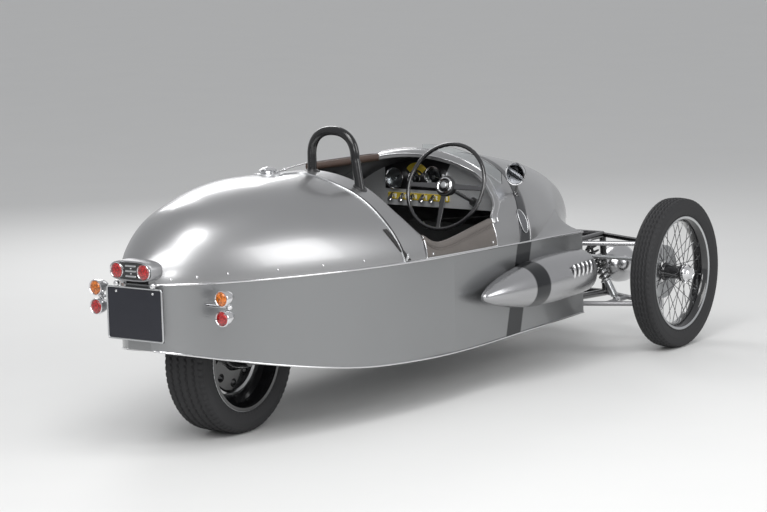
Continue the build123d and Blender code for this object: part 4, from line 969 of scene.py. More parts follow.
def bodySide(y, height, outset=0.0):
    # where the upper body's right side is at a height above the waist: half * (1 - (h / rise)^n)^(1/n)
    power, rise = bodyForm["archPower"], bodyCrown(y) - waistHeight(y)
    share = np.clip(height / rise, 0, 0.999)
    slope = share ** (power - 1) / np.maximum(1 - share ** power, 1e-6) ** (1 - 1 / power)
    tilt = np.arctan(slope * bodyPlan(y) / rise)
    x = bodyPlan(y) * (1 - share ** power) ** (1 / power)
    return np.stack([-(x + outset * np.cos(tilt)), rearAxleY + y + 0 * x,
                     waistHeight(y) + height + outset * np.sin(tilt)], -1)


y = np.linspace(padForm["front"], padForm["back"], 90)
top = tableLine(padForm["top"], y)
s = np.linspace(0, 1, 14)[:, None]
height = padForm["foot"] + (top[None] - padForm["foot"]) * s
crown = 0.0035 * (np.sin(np.pi * s) ** 0.5) * np.sin(np.pi * np.clip((y[None] - y[0]) / (y[-1] - y[0]), 0, 1)) ** 0.35
outerFace = bodySide(np.broadcast_to(y, height.shape), height, 0.0005 + crown)
innerFace = bodySide(np.broadcast_to(y, height.shape), height, -padForm["thick"])
shape = np.concatenate([outerFace, innerFace[::-1]], 0)
padPanel = makePiece("elbowPadPanel", shape, cappedBand(28, 90), greyHide, slot="leather", merge=1e-6, sharp=55)
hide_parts("elbow_pad")
rollPath = bodySide(y, top + 0.006, -0.010)
turn = np.linspace(0, 2 * np.pi, 24, endpoint=False)
rollOutline = np.stack([padForm["roll"] * 1.05 * np.cos(turn), padForm["roll"] * np.sin(turn)], -1)
padRoll = sweep("elbowPadRoll", rollPath, rollOutline, greyHide, slot="leather", merge=1e-6, sharp=60)
seamPath = bodySide(y[2:-2], top[2:-2] - 0.012, 0.0036)
sweep("elbowPadPiping", seamPath, circle(0.0018, 8), greyHide, slot="leather")
edgeY = np.concatenate([np.full(12, y[0]), y, np.full(12, y[-1])])
edgeTop = np.concatenate([np.linspace(top[0] + 0.012, padForm["foot"], 12), np.full(90, padForm["foot"] - 0.001),
                          np.linspace(padForm["foot"], top[-1] + 0.012, 12)])
sweep("elbowPadTrim", smoothPath(bodySide(edgeY, edgeTop, 0.0022), 160), circle(0.0030, 10), chrome, up=(1, 0, 0),
      slot="bright")
places = [bodySide(np.array(v), np.array(h), 0.0030) for v, h in ((-1.205, 0.024), (-0.745, 0.020))]
points, quads = manyTurned([(0.0062, -0.002), (0.0062, 0.0010), (0.0045, 0.0030), (0.0, 0.0040)], places,
                           [(-1, 0, 0.15)] * 2, 24)
makePiece("elbowPadStuds", points, quads, chrome, slot="bright", merge=1e-6, sharp=40)
print("elbow pad made")

# strap over the seam, with its stud plate; small screws along the waist
strapTable = [(156.0, -0.490), (163.0, -0.512), (170.0, -0.540), (178.5, -0.585)]
strapTurn = np.radians(np.linspace(strapTable[0][0], strapTable[-1][0], 30))
strapY = tableEdge(strapTable)(strapTurn)
half, lift = 0.011, 0.0035
section = ((-half, 0.0004), (-half, lift), (-half * 0.8, lift + 0.001), (half * 0.8, lift + 0.001), (half, lift),
           (half, 0.0004))
strip = np.stack([upperBody(strapY + shift, strapTurn, high) for shift, high in section], 1)
makePiece("seamStrap", strip, cappedTube(30, 6),
          hide("strapLeather", (0.012, 0.011, 0.011), 0.38), slot="leather", merge=1e-7, sharp=50)
studTurn = strapTurn[-4]
studSpot = upperBody(strapY[-4], studTurn, lift + 0.001)
studAxis = (math.cos(studTurn), 0.0, 0.22)
blob("strapPlate", studSpot, (0.002, 0.003, -0.016), (0, 0.0085, 0.001), (-0.0022, 0, 0), brushed, power=0.7,
     slot="bright")
lathe("strapStud", [(0.0055, 0.0), (0.0055, 0.004), (0.0040, 0.0065), (0.0, 0.0072)], studSpot, studAxis, chrome,
      sides=28, slot="bright")
screwRows = [
    # y behind the rear axle, height above the waist
    (0.508, 0.020), (0.430, 0.026), (0.320, 0.033), (0.114, 0.033), (-0.100, 0.032), (-0.318, 0.031),
]
places, axes = [], []
for y, height in screwRows:
    for side in (-1, 1):
        spot = bodySide(np.array(y), np.array(height), 0.0002)
        places.append(spot * [-side, 1, 1])
        axes.append((side, 0.0 if y < 0.4 else 0.8, 0.25))
points, quads = manyTurned(dome(0.0052, 0.0026, 6, 0.001), places, axes, 20)
makePiece("waistScrews", points, quads, chrome, slot="bright", merge=1e-7, sharp=50)
print("strap made")


def banded(name, colour, rough, centre, slope, halfBand, dark=(0.024, 0.026, 0.029)):
    # metallic paint crossed by a dark band whose middle leans with height: |y - centre - slope * z| < half
    finish = metalPaint(name, colour, rough)
    x, y, z = finish.coords()
    mask = abs(y - centre - z * slope).smooth(halfBand + 0.001, halfBand - 0.001)
    edge = abs(abs(y - centre - z * slope) - halfBand).smooth(0.0035, 0.0015)
    base = finish.shader.inputs["Base Color"].links[0].from_socket
    finish.put(Base_Color=finish.mix(edge, finish.mix(mask, base, dark), tuple(c * 0.7 for c in colour)))
    return finish


# the tub's silver is set darker than the upper panels' (0.30 against 0.40), painted shade on the lower body; its dark
# band is real paint
tubBandPaintedShade = banded("tubBandedPaintedShade", (0.30, 0.305, 0.31), 0.34, rearAxleY - 1.46 + 0.58 * 0.278, -0.278, 0.060)
frame["nodes"]["tub"].data.materials[0] = tubBandPaintedShade.material
podBand = banded("podBanded", (0.44, 0.44, 0.45), 0.22, rearAxleY - 1.37, 0.0, 0.050)
bowl = plainMetal("polishedBowl", (0.60, 0.60, 0.61), 0.17, 0.04, 40.0)
armFinish = Finish("armTubes", Metallic=0.9)
x, y, z = armFinish.coords()
behind = y.smooth(-1.345, -1.335)
armFinish.put(Base_Color=armFinish.mix(behind, (0.012, 0.012, 0.013), (0.50, 0.50, 0.51)),
              Roughness=0.22 + armFinish.noise(40.0) * 0.12)
frame["nodes"]["upper_wishbones"].data.materials[0] = armFinish.material
frame["nodes"]["lower_wishbones"].data.materials[0] = dullAlloy.material
frame["nodes"]["steering_rack"].data.materials[0] = brushed.material
for word in ("right", "left"):
    frame["nodes"]["headlamp_" + word].data.materials[0] = bowl.material

# side pods with five louvres on the outside, near the front
podForm = {
    "x": 0.562, "front": -1.830, "height": 0.424,
    # distance behind the front, radius
    "outline": [(0.165, 0.0), (0.162, 0.060), (0.150, 0.0865), (0.030, 0.0865), (0.002, 0.0885), (0.0, 0.0905),
                (0.003, 0.0935), (0.030, 0.0975), (0.090, 0.1015), (0.180, 0.1038), (0.260, 0.1040), (0.350, 0.1015),
                (0.440, 0.0955), (0.530, 0.0850), (0.610, 0.0720), (0.680, 0.0570), (0.735, 0.0420), (0.775, 0.0275),
                (0.798, 0.0160), (0.808, 0.0070), (0.810, 0.0)],
    "louvres": 5, "firstLouvre": -1.762, "pitch": 0.0365,
}
pods = np.array(podForm["outline"])
knots = np.concatenate([[0], np.cumsum(np.hypot(*np.diff(pods[5:], axis=0).T))])
fine = np.linspace(0, knots[-1], 70)
skinLine = np.stack([smoothLine(knots, pods[5:, 1], fine), smoothLine(knots, pods[5:, 0], fine)], -1)
podProfile = np.concatenate([pods[:5, ::-1], np.maximum(skinLine, 0)])


def podRadius(y):
    # the pod's radius at a distance behind the rear axle
    return np.interp(y - podForm["front"], skinLine[:, 1], skinLine[:, 0])


for side, word in bothSides:
    centre = np.array([side * podForm["x"], rearAxleY + podForm["front"], podForm["height"]])
    turn = np.linspace(0, 2 * np.pi, 128, endpoint=False)
    radius, along = podProfile[:, :1], podProfile[:, 1:]
    points = centre + np.stack([radius * np.cos(turn), along + 0 * turn, radius * np.sin(turn)], -1)
    points[..., 0] = side * np.maximum(side * points[..., 0], 0.5015)
    pod = makePiece("pod_" + word, points, gridQuads(len(podProfile), 128, False, True), podBand, slot="body_paint",
                    merge=1e-6, sharp=40)
    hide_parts("side_pod_" + word)
    # black sheets under the louvres are painted shade, standing in for the dark openings; the bright blades lie over
    # them
    slotShades, lips = [], []
    for number in range(podForm["louvres"]):
        middle = podForm["firstLouvre"] + podForm["pitch"] * number
        up, run = np.meshgrid(np.linspace(-0.030, 0.034, 14), np.linspace(0, 1, 8), indexing="ij")
        y = middle + 0.009 * (run - 0.5)
        reach = podRadius(y)
        swell = 0.0055 * np.sin(np.pi * run) ** 0.7 * (1 - (up / 0.036) ** 4)
        turnUp = up / reach
        for shape, low, high, lift in ((slotShades, -0.0165, -0.002, 0.0006), (lips, -0.004, 0.012, 0.0)):
            y = middle + low + (high - low) * run
            reach = podRadius(y) + lift + (swell if shape is lips else 0)
            shape.append(np.stack([side * (podForm["x"] + reach * np.cos(turnUp)), rearAxleY + y,
                                   podForm["height"] + 0.030 + reach * np.sin(turnUp) * 0.98], -1))
    quads = gridQuads(14, 8)
    for shape, title, finish in ((slotShades, "podSlots_", blackPart), (lips, "podLouvres_", chrome)):
        points = np.stack(shape).reshape(-1, 3)
        faces = (quads[None] + np.arange(len(shape))[:, None, None] * 14 * 8).reshape(-1, 4)
        thicken(makePiece(title + word, points, faces, finish, slot="black_part" if shape is slotShades else "bright",
                          merge=1e-7, flip=side > 0), 0.0012, 0.0)
print("pods made")

# coil dampers
damperForm = {"foot": (0.436, 0.190), "head": (0.284, 0.460), "coils": 7.0, "coilRadius": 0.0255, "wire": 0.0047}
for side, word in bothSides:
    foot = np.array([side * damperForm["foot"][0], layout["frontAxleY"], damperForm["foot"][1]])
    head = np.array([side * damperForm["head"][0], layout["frontAxleY"], damperForm["head"][1]])
    length = np.linalg.norm(head - foot)
    axis = (head - foot) / length
    first, second, _ = axisFrame(axis)
    body = lathe("damperBody_" + word, [(0.0, 0.014), (0.009, 0.014), (0.012, 0.020), (0.017, 0.026), (0.0172, 0.100),
                                        (0.029, 0.103), (0.030, 0.110), (0.020, 0.113), (0.0172, 0.116),
                                        (0.0172, 0.165), (0.010, 0.170), (0.0, 0.170)], foot, axis, brushed, sides=40,
                 slot="alloy")
    if side < 0:
        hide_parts("dampers")
    lathe("damperTop_" + word, [(0.0, 0.165), (0.0065, 0.165), (0.0065, 0.268), (0.029, 0.270), (0.030, 0.278),
                                (0.022, 0.283), (0.012, 0.290), (0.009, 0.298), (0.0, 0.298)], foot, axis, blackPart,
          sides=40, slot="black_part")
    t = np.linspace(0, 1, 220)
    spin = 2 * np.pi * damperForm["coils"] * t
    coil = (foot + axis * (0.112 + 0.152 * t)[:, None]
            + damperForm["coilRadius"] * (np.cos(spin)[:, None] * first + np.sin(spin)[:, None] * second))
    sweep("damperSpring_" + word, coil, circle(damperForm["wire"], 10), blackTube, up=tuple(axis), slot="black_part")
    for spot, title in ((foot, "damperFoot_"), (head, "damperHead_")):
        inwards = axis if title == "damperFoot_" else -axis
        points, quads = manyTurned([(0.0060, -0.016), (0.0125, -0.016), (0.0140, -0.012), (0.0140, 0.012),
                                    (0.0125, 0.016), (0.0060, 0.016), (0.0060, -0.016)],
                                   [spot + inwards * 0.004], [(0, 1, 0)], 32)
        makePiece(title + word, points, quads, chrome, slot="bright", merge=1e-7, sharp=40)
print("dampers made")

# lamps
def lens(name, colour, scale):
    # moulded lens: clear coat over colour, with a pattern of small facets pressed into it; each facet is painted bright
    # in its middle and darker at its rim as a painted glint, and the whole lens has a faint painted glow
    finish = Finish(name, Roughness=0.08, Coat_Weight=1.0, Coat_Roughness=0.03, Specular_IOR_Level=0.6)
    cell = finish.add("TexVoronoi", {}, Vector=finish.add("TexCoord").outputs["Object"], Scale=scale)
    facet = finish.wire(cell.outputs["Distance"])
    # painted glint: a facet's colour is brightest in its middle and dark at its rim
    finish.put(Base_Color=finish.mix(facet.smooth(0.1, 0.8), tuple(min(1, c * 1.15 + 0.004) for c in colour),
                                     tuple(c * 0.35 for c in colour)))
    # a faint painted glow, brightest in each facet's middle
    finish.put(Emission_Color=finish.mix(facet.smooth(0.1, 0.8), colour, tuple(c * 0.2 for c in colour)),
               Emission_Strength=0.06)
    return finish.bump(facet, 0.0012, 0.8)


amberLens = lens("amberLens", (0.78, 0.19, 0.002), 150.0)
redLens = lens("redLens", (0.50, 0.004, 0.005), 150.0)
lampRows = [("amber", 0.631, amberLens), ("red", 0.555, redLens)]
for side, word in bothSides:
    for colour, height, finish in lampRows:
        spot = (side * 0.313, rearAxleY + 0.439, height)
        lathe(f"{colour}Rim_{word}", [(0.0265, -0.001), (0.0318, -0.004), (0.0325, 0.0), (0.0315, 0.0035),
                                      (0.0285, 0.0050), (0.0265, 0.0030), (0.0265, -0.001)], spot, wheelSide, chrome,
              sides=64, slot="bright")
        points, quads = manyTurned(dome(0.0272, 0.0125, 12, 0.0), [spot], [wheelSide], 48)
        makePiece(f"{colour}Lens_{word}", points, quads, finish, slot="lamp_bright", merge=1e-7)
    blob("lampStayCap_" + word, (side * 0.318, rearAxleY + 0.3995, 0.593), (0, 0.014, 0), (0.012, 0, 0), (0, 0, 0.012),
         chrome, slot="bright")

stop = {"half": 0.105, "tall": 0.0400, "middle": 0.742, "back": 0.530, "front": 0.603, "lamps": 0.066, "shift": -0.006}
turn = np.linspace(0, 2 * np.pi, 96, endpoint=False)
rings = []
for y, inset in ((stop["back"], 0.010), (stop["back"] + 0.006, 0.003), (stop["back"] + 0.016, 0.0),
                 (stop["front"] - 0.006, 0.0), (stop["front"] - 0.0015, 0.0015), (stop["front"], 0.004),
                 (stop["front"] - 0.001, 0.0065), (stop["front"] - 0.004, 0.0075)):
    wide, tall = stop["half"] - inset, stop["tall"] - inset
    power = 2 / 3.4
    rings.append(np.stack([stop["shift"] + wide * np.sign(np.cos(turn)) * np.abs(np.cos(turn)) ** power,
                           np.full(96, rearAxleY + y),
                           stop["middle"] + tall * np.sign(np.sin(turn)) * np.abs(np.sin(turn)) ** power
                           * (1 - 0.10 * (np.sin(turn) > 0) * np.abs(np.cos(turn)) ** 2)], -1))
housing = makePiece("stopHousing", np.concatenate(rings), cappedTube(len(rings), 96), dullAlloy, slot="lamp_dark",
                    merge=1e-7, sharp=50)
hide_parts("stop_lamp")
roundedBar("stopFace", (-0.103, rearAxleY + 0.597, 0.7095), (0.091, rearAxleY + 0.6015, 0.7745), 0.027, blackTube,
           slot="lamp_dark")
for x in (stop["shift"] - stop["lamps"], stop["shift"] + stop["lamps"]):
    word = "right" if x < 0 else "left"
    spot = (x, rearAxleY + 0.601, stop["middle"])
    lathe("stopRim_" + word, [(0.0275, 0.0), (0.0315, 0.0), (0.0312, 0.006), (0.0295, 0.0085), (0.0275, 0.006),
                              (0.0275, 0.0)], spot, wheelSide, chrome, sides=56, slot="bright")
    points, quads = manyTurned([(0.0278, 0.0)] + [(r, h + 0.004) for r, h in dome(0.0278, 0.010, 10)], [spot],
                               [wheelSide], 48)
    makePiece("stopLens_" + word, points, quads, redLens, slot="lamp_dark", merge=1e-7)
    blob("plateFoot_" + word, (x * 1.35, rearAxleY + 0.585, 0.6875), (0, 0.012, 0), (0.012, 0, 0), (0, 0, 0.0125),
         chrome, slot="bright")
for number, height in enumerate((0.722, 0.742, 0.762)):
    roundedBar(f"stopBar{number}", (-0.032, rearAxleY + 0.6015, height - 0.0038),
               (0.020, rearAxleY + 0.6050, height + 0.0038), 0.0036, brushed, sides=24, bevel=0.0008, slot="bright")
places = [(stop["shift"], rearAxleY + 0.6015, z) for z in (0.732, 0.752)]
points, quads = manyTurned(dome(0.0034, 0.002, 5, 0.001), places, [wheelSide] * 2, 16)
makePiece("stopRivets", points, quads, chrome, slot="bright", merge=1e-7, sharp=50)

plate = {"half": 0.1345, "low": 0.4705, "high": 0.6735, "corner": 0.010, "tube": 0.0036}
corners = []
for cx, cz, start in ((plate["half"], plate["high"], 0), (-plate["half"], plate["high"], 90),
                      (-plate["half"], plate["low"], 180), (plate["half"], plate["low"], 270)):
    for a in np.radians(np.linspace(start, start + 90, 7)):
        lower = plate["corner"] if cz == plate["high"] else -plate["corner"]
        corners.append((cx - math.copysign(plate["corner"], cx) + plate["corner"] * math.cos(a), rearAxleY + 0.580,
                        cz - lower + plate["corner"] * math.sin(a)))
sweep("plateFrame", corners, circle(plate["tube"], 10), brushed, closed=True, up=(0, 1, 0), slot="bright", merge=1e-7)
points, quads = manyTurned(dome(0.0055, 0.0025, 6, 0.001), [(x, rearAxleY + 0.580, 0.656) for x in (-0.09, 0.09)],
                           [wheelSide] * 2, 20)
makePiece("plateScrews", points, quads, chrome, slot="bright", merge=1e-7, sharp=50)
print("lamps made")

# mirrors
for side, word in bothSides:
    spot = (side * 0.420, rearAxleY - 1.530, 0.884)
    lathe("mirrorRim_" + word, [(0.0440, -0.002), (0.0495, -0.006), (0.0515, -0.001), (0.0505, 0.0035),
                                (0.0465, 0.0045), (0.0440, 0.0015), (0.0440, -0.002)], spot, wheelSide,
          chrome, sides=72, slot="bright")
    # the glass takes the darkened mirror finish, a painted dark reflection
    shallow = [(0.0445, 0.0)] + [(r, h + 0.0008) for r, h in dome(0.0445, 0.0022, 8)]
    points, quads = manyTurned(shallow, [spot], [wheelSide], 64)
    makePiece("mirrorGlass_" + word, points, quads, mirrorGlass, slot="bright", merge=1e-7)
    lathe("mirrorFoot_" + word, [(0.0, 0.0), (0.016, 0.0), (0.0165, 0.003), (0.012, 0.007), (0.0085, 0.014),
                                 (0.0, 0.016)], (side * (0.420 - 0.0155), rearAxleY - 1.555, 0.788),
          (side * 0.55, 0, 0.83), blackTube, sides=36, slot="bright")
    frame["nodes"]["mirror_" + word].data.materials[0] = blackTube.material

# hoop collars and the filler's hinge
def bodyTop(x, y):
    # height of the upper body at a place: waist + rise * (1 - |x / half|^n)^(1/n)
    power = bodyForm["archPower"]
    rise = bodyCrown(np.array(y)) - waistHeight(np.array(y))
    return float(waistHeight(np.array(y)) + rise * (1 - abs(x / float(bodyPlan(np.array(y)))) ** power) ** (1 / power))


# roll hoop: one tube bent over |x / half|^n + |z / rise|^n = 1, its right leg leaning outwards
hoop = {"y": -0.570, "middle": -0.134, "half": 0.109, "spring": 1.054, "rise": 0.109, "power": 2.3, "tube": 0.019,
        "leftFoot": (-0.024, 0.930), "rightFoot": (-0.272, 0.880)}
hoopBlack = gloss("hoopEnamel", (0.004, 0.004, 0.0045), 0.16, 0.35)
turn = np.linspace(0, np.pi, 60)
bend = 2 / hoop["power"]
arch = np.stack([hoop["middle"] + hoop["half"] * np.sign(np.cos(turn)) * np.abs(np.cos(turn)) ** bend,
                 hoop["spring"] + hoop["rise"] * np.abs(np.sin(turn)) ** bend], -1)
s = np.linspace(0, 1, 10)[:-1, None]
leftLeg = np.array(hoop["leftFoot"]) + (arch[0] - hoop["leftFoot"]) * s
rightLeg = np.array(hoop["rightFoot"]) + (arch[-1] - hoop["rightFoot"]) * s
line = np.concatenate([leftLeg, arch, rightLeg[::-1]])
line = smoothPath(np.stack([line[:, 0], np.full(len(line), rearAxleY + hoop["y"]), line[:, 1]], -1), 150)
hoopTube = sweep("hoopTube", line, circle(hoop["tube"], 32), hoopBlack, up=(0, 1, 0), slot="black_tube", merge=1e-7,
                 sharp=60)
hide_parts("roll_hoop")
for number, (x, axis) in enumerate(((-0.024, (-0.02, -0.02, 1.0)), (-0.264, (-0.50, -0.02, 0.87)))):
    lathe(f"hoopCollar{number}", [(0.0185, -0.004), (0.0310, -0.004), (0.0318, 0.0005), (0.0300, 0.0030),
                                  (0.0240, 0.0042), (0.0225, 0.0075), (0.0185, 0.0080)],
          (x, rearAxleY + hoop["y"], bodyTop(x, hoop["y"])), axis, blackPart, sides=48, slot="black_tube")
fillerTop = bodyTop(0.0, -0.298)
lathe("fillerRing", [(0.040, -0.003), (0.0475, -0.002), (0.0480, 0.002), (0.0440, 0.005), (0.040, 0.006)],
      (0, rearAxleY - 0.298, fillerTop), (0, 0, 1), chrome, sides=72, slot="bright")
blob("fillerLever", (0.0, rearAxleY - 0.298 + 0.030, fillerTop + 0.026), (0.0, 0.030, -0.004), (0.0085, 0, 0),
     (0, 0.0004, 0.0036), chrome, taper=0.3, slot="bright")
blob("fillerKnuckle", (0.0, rearAxleY - 0.298 - 0.038, fillerTop + 0.012), (0.014, 0, 0), (0, 0.008, 0), (0, 0, 0.008),
     chrome, slot="bright")
print("fittings made")


# seat: two crowned leather cushions, blown up a little as cloth, then sewn into channels
seatForm = {
    "driver": -0.24,
    "cushion": (rearAxleY - 0.972, 0.300, 0.190, 0.160, 0.064),  # middle y and z, half width, length and depth
    "back": (rearAxleY - 0.742, 0.520, 0.190, 0.031, 0.252),
    "lean": math.radians(5),
    "voxel": 0.0075,
    "reach": 0.010,
    "channel": 0.054,
    "channelDepth": 0.0055,
    "channelWidth": 0.0060,
}


def pillow(half, sides=(40, 56), squareness=0.42):
    # superellipsoid block: half * sgn * |cos|^n on each axis, its faces crowned
    lift, turn = np.meshgrid(np.linspace(-np.pi / 2, np.pi / 2, sides[0]),
                             np.linspace(0, 2 * np.pi, sides[1], endpoint=False), indexing="ij")
    bent = lambda v: np.sign(v) * np.abs(v) ** squareness
    level = bent(np.cos(lift))
    points = np.stack([half[0] * level * bent(np.cos(turn)), half[1] * level * bent(np.sin(turn)),
                       half[2] * bent(np.sin(lift))], -1)
    return points.reshape(-1, 3), gridQuads(sides[0], sides[1], False, True)


def applied(piece):
    # the piece's mesh with its modifiers worked in
    graph = bpy.context.evaluated_depsgraph_get()
    mesh = bpy.data.meshes.new_from_object(piece.evaluated_get(graph))
    piece.modifiers.clear()
    old, piece.data = piece.data, mesh
    bpy.data.meshes.remove(old)
    return mesh


def vertexArray(mesh):
    # a mesh's points as rows of x, y, z
    flat = np.empty(len(mesh.vertices) * 3)
    mesh.vertices.foreach_get("co", flat)
    return flat.reshape(-1, 3)


def puff(piece, voxel, reach, pressure=4.0):
    # even voxels, then twenty steps of cloth under pressure, each point held within the reach of its start
    remesh = piece.modifiers.new("voxels", "REMESH")
    remesh.mode = "VOXEL"
    remesh.voxel_size = voxel
    remesh.use_smooth_shade = True
    start = vertexArray(applied(piece))
    cloth = piece.modifiers.new("cloth", "CLOTH")
    cloth.settings.use_pressure = True
    cloth.settings.uniform_pressure_force = pressure
    cloth.settings.effector_weights.gravity = 0
    cloth.settings.quality = 4
    for step in range(1, 21):
        scene.frame_set(step)
    moved = vertexArray(applied(piece)) - start
    scene.frame_set(1)
    far = np.linalg.norm(moved, axis=1, keepdims=True)
    start = start + moved * np.minimum(1, reach / np.maximum(far, 1e-9))
    piece.data.vertices.foreach_set("co", start.ravel())
    smooth = piece.modifiers.new("smooth", "SUBSURF")
    smooth.levels = smooth.render_levels = 1
    mesh = applied(piece)
    mesh.polygons.foreach_set("use_smooth", [True] * len(mesh.polygons))
    return mesh


for name, (y, z, wide, deep, tall), node in (("seatCushion", seatForm["cushion"], "seat_cushion"),
                                            ("seatBack", seatForm["back"], "seat_back")):
    points, quads = pillow((wide, deep, tall))
    lean = seatForm["lean"] if name == "seatBack" else 0.0
    piece = makePiece(name, points, quads, brownHide, slot="leather", merge=1e-6)
    mesh = puff(piece, seatForm["voxel"], seatForm["reach"])
    spots = vertexArray(mesh)
    beside = (((spots[:, 0] / seatForm["channel"]) % 1) - 0.5) * seatForm["channel"]  # distance from a channel's middle
    channels = np.exp(-(beside / seatForm["channelWidth"]) ** 2)
    channels *= np.abs(spots[:, 0]) < wide * 0.86
    if name == "seatCushion":
        facing = np.clip((spots[:, 2] - tall * 0.25) / (tall * 0.4), 0, 1) * (np.abs(spots[:, 1]) < deep * 0.86)
        spots[:, 2] -= channels * facing * seatForm["channelDepth"]
        spots[:, 2] = np.maximum(spots[:, 2], -tall * 0.97)
    else:
        facing = np.clip((-spots[:, 1] - deep * 0.25) / (deep * 0.4), 0, 1) * (np.abs(spots[:, 2]) < tall * 0.88)
        spots[:, 1] += channels * facing * seatForm["channelDepth"]
    leaned = np.stack([spots[:, 0], spots[:, 1] * math.cos(lean) + spots[:, 2] * math.sin(lean),
                        spots[:, 2] * math.cos(lean) - spots[:, 1] * math.sin(lean)], -1)
    mesh.vertices.foreach_set("co", (leaned + [seatForm["driver"], y, z]).ravel())
    mesh.materials.clear()
    mesh.materials.append(brownHide.material)
    mesh.update()
    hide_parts(node)
print("seat made")

# trim inside: leather on the cockpit's right wall, a mat on its floor and a roll along the tonneau's edge
y, up = np.meshgrid(np.linspace(-1.455, -0.72, 80), np.linspace(0, 1, 16), indexing="ij")
pleat = 0.003 * np.abs(np.sin((y + 1.455) * np.pi / 0.062)) ** 0.5 * np.sin(np.pi * up) ** 0.4
points = np.stack([-(bodyPlan(y) - 0.0235 - pleat), rearAxleY + y, 0.262 + (waistHeight(y) - 0.010 - 0.262) * up], -1)
thicken(makePiece("wallTrim", points, gridQuads(80, 16), brownHide, slot="leather"), 0.003, 0.0)
carpet = Finish("carpet", Roughness=0.95)
pile = carpet.noise(700.0, 3.0)
carpet.put(Base_Color=carpet.mix(pile, (0.010, 0.010, 0.011), (0.035, 0.034, 0.034)))
carpet.bump(pile, 0.0015, 0.7)
y, x = np.meshgrid(np.linspace(-1.90 + 0.30, -1.15, 30), np.linspace(-0.470, -0.02, 20), indexing="ij")
thicken(makePiece("floorMat", np.stack([x, rearAxleY + y, bodyFloor(y) + 0.0265 + 0.0008 * np.sin(x * 40)], -1),
                  gridQuads(30, 20), carpet, slot="leather"), 0.006, 0.0)
rollY = np.linspace(-0.790, -1.305, 90)
rollTurn = np.full(90, opened + 0.020)
edgeRoll = sweep("tonneauRoll", upperBody(rollY, rollTurn, 0.010), circle(0.0165, 20), brownHide, slot="leather",
                 merge=1e-6, sharp=60)
lineTable = [(-1.54, 0.012), (-1.40, 0.026), (-1.09, 0.031), (-0.75, 0.025), (-0.59, 0.010)]
lineY = np.linspace(-0.59, -1.54, 90)
lineLift = tableLine(lineTable, lineY)
lineTurn = np.full(90, opened - 0.005)
edgeLine = upperBody(lineY, lineTurn, lineLift)
sweep("tonneauTrim", edgeLine, circle(0.0026, 8), chrome, slot="bright")
kept = (lineY < -0.79) & (lineY > -1.305)
foot, top = upperBody(lineY, lineTurn, 0.0)[kept], edgeLine[kept] - [0, 0, 0.001]
side = np.array([0.0016, 0, 0])
makePiece("tonneauRail", np.stack([foot - side, top - side, top + side, foot + side], 1),
          cappedTube(len(foot), 4), brownHide, slot="leather", merge=1e-7, sharp=50)
places = [edgeLine[k] + [0, 0, 0.001] for k in (4, -2)]
points, quads = manyTurned(dome(0.0075, 0.0050, 7, 0.003), places, [(-0.3, 0, 1)] * 2, 24)
makePiece("tonneauStuds", points, quads, chrome, slot="bright", merge=1e-7, sharp=50)
print("trim made")

# bead along the tail's front edge, running back round the filler; the bead's bright alloy finish is partly a painted
# highlight on the raised silver edge. Ahead of it a black strip is painted shadow, standing in for the shaded gap
# between tail and deck.
tongue = {"half": 0.045, "round": 0.056, "centre": -0.298, "sides": 13}
beadTurn = np.radians(np.linspace(0.5, 80, 60))
leftEdge = upperBody(seam(beadTurn) + gap, beadTurn, 0.0008)
around = np.radians(np.linspace(-35, 90, tongue["sides"]))
flat = [(tongue["half"], y) for y in (-0.44, -0.40, -0.36)]
flat += [(tongue["round"] * math.cos(a), tongue["centre"] + tongue["round"] * math.sin(a)) for a in around]
spine = np.array([(x, rearAxleY + y, bodyTop(x, y) + 0.0008) for x, y in flat])
half = np.concatenate([leftEdge, spine])
other = (half * [-1, 1, 1])[::-1][1:]
rod("seamBead", smoothPath(np.concatenate([half, other]), 420), 0.0042, brushed, sides=10, slot="bright")
# the black strip ahead of the bead on each side is painted shadow in the gap
gapShadeTurn = np.radians(np.linspace(112, 177, 70))
for word, turned in (("right", gapShadeTurn), ("left", np.pi - gapShadeTurn)):
    rod("seamSeal_" + word, upperBody(seam(turned) - 0.0115, turned, -0.0020), 0.0046, blackPart, sides=8,
        slot="black_part")

# bare oval on the dark band: y = middle + half * r * cos, turn = middle + spread * r * sin
badge = {"y": -1.482, "half": 0.030, "turn": 165.0, "spread": 8.5}
r, a = np.meshgrid(np.linspace(0, 0.92, 8), np.linspace(0, 2 * np.pi, 48, endpoint=False), indexing="ij")
dull = gloss("ovalGrey", (0.10, 0.103, 0.11), 0.34, 0.3, 0.4)


def onBand(r, a, lift):
    # a point of the oval, r from its middle (0) to its edge (1), at the angle a
    turn = np.radians(badge["turn"] + badge["spread"] * r * np.sin(a))
    return upperBody(badge["y"] + badge["half"] * r * np.cos(a), turn, lift)


face = np.concatenate([onBand(r, a, 0.0036 - 0.0006 * r ** 2), onBand(r, a, 0.0005)[::-1]])
makePiece("ovalFace", face, gridQuads(16, 48, False, True), dull, slot="black_part", merge=1e-7, sharp=50)
a = np.linspace(0, 2 * np.pi, 64, endpoint=False)
sweep("ovalRing", onBand(0.96 + 0 * a, a, 0.0032 + 0 * a), circle(0.0024, 8), brushed, closed=True, slot="bright",
      merge=1e-7)
print("seam and oval made")

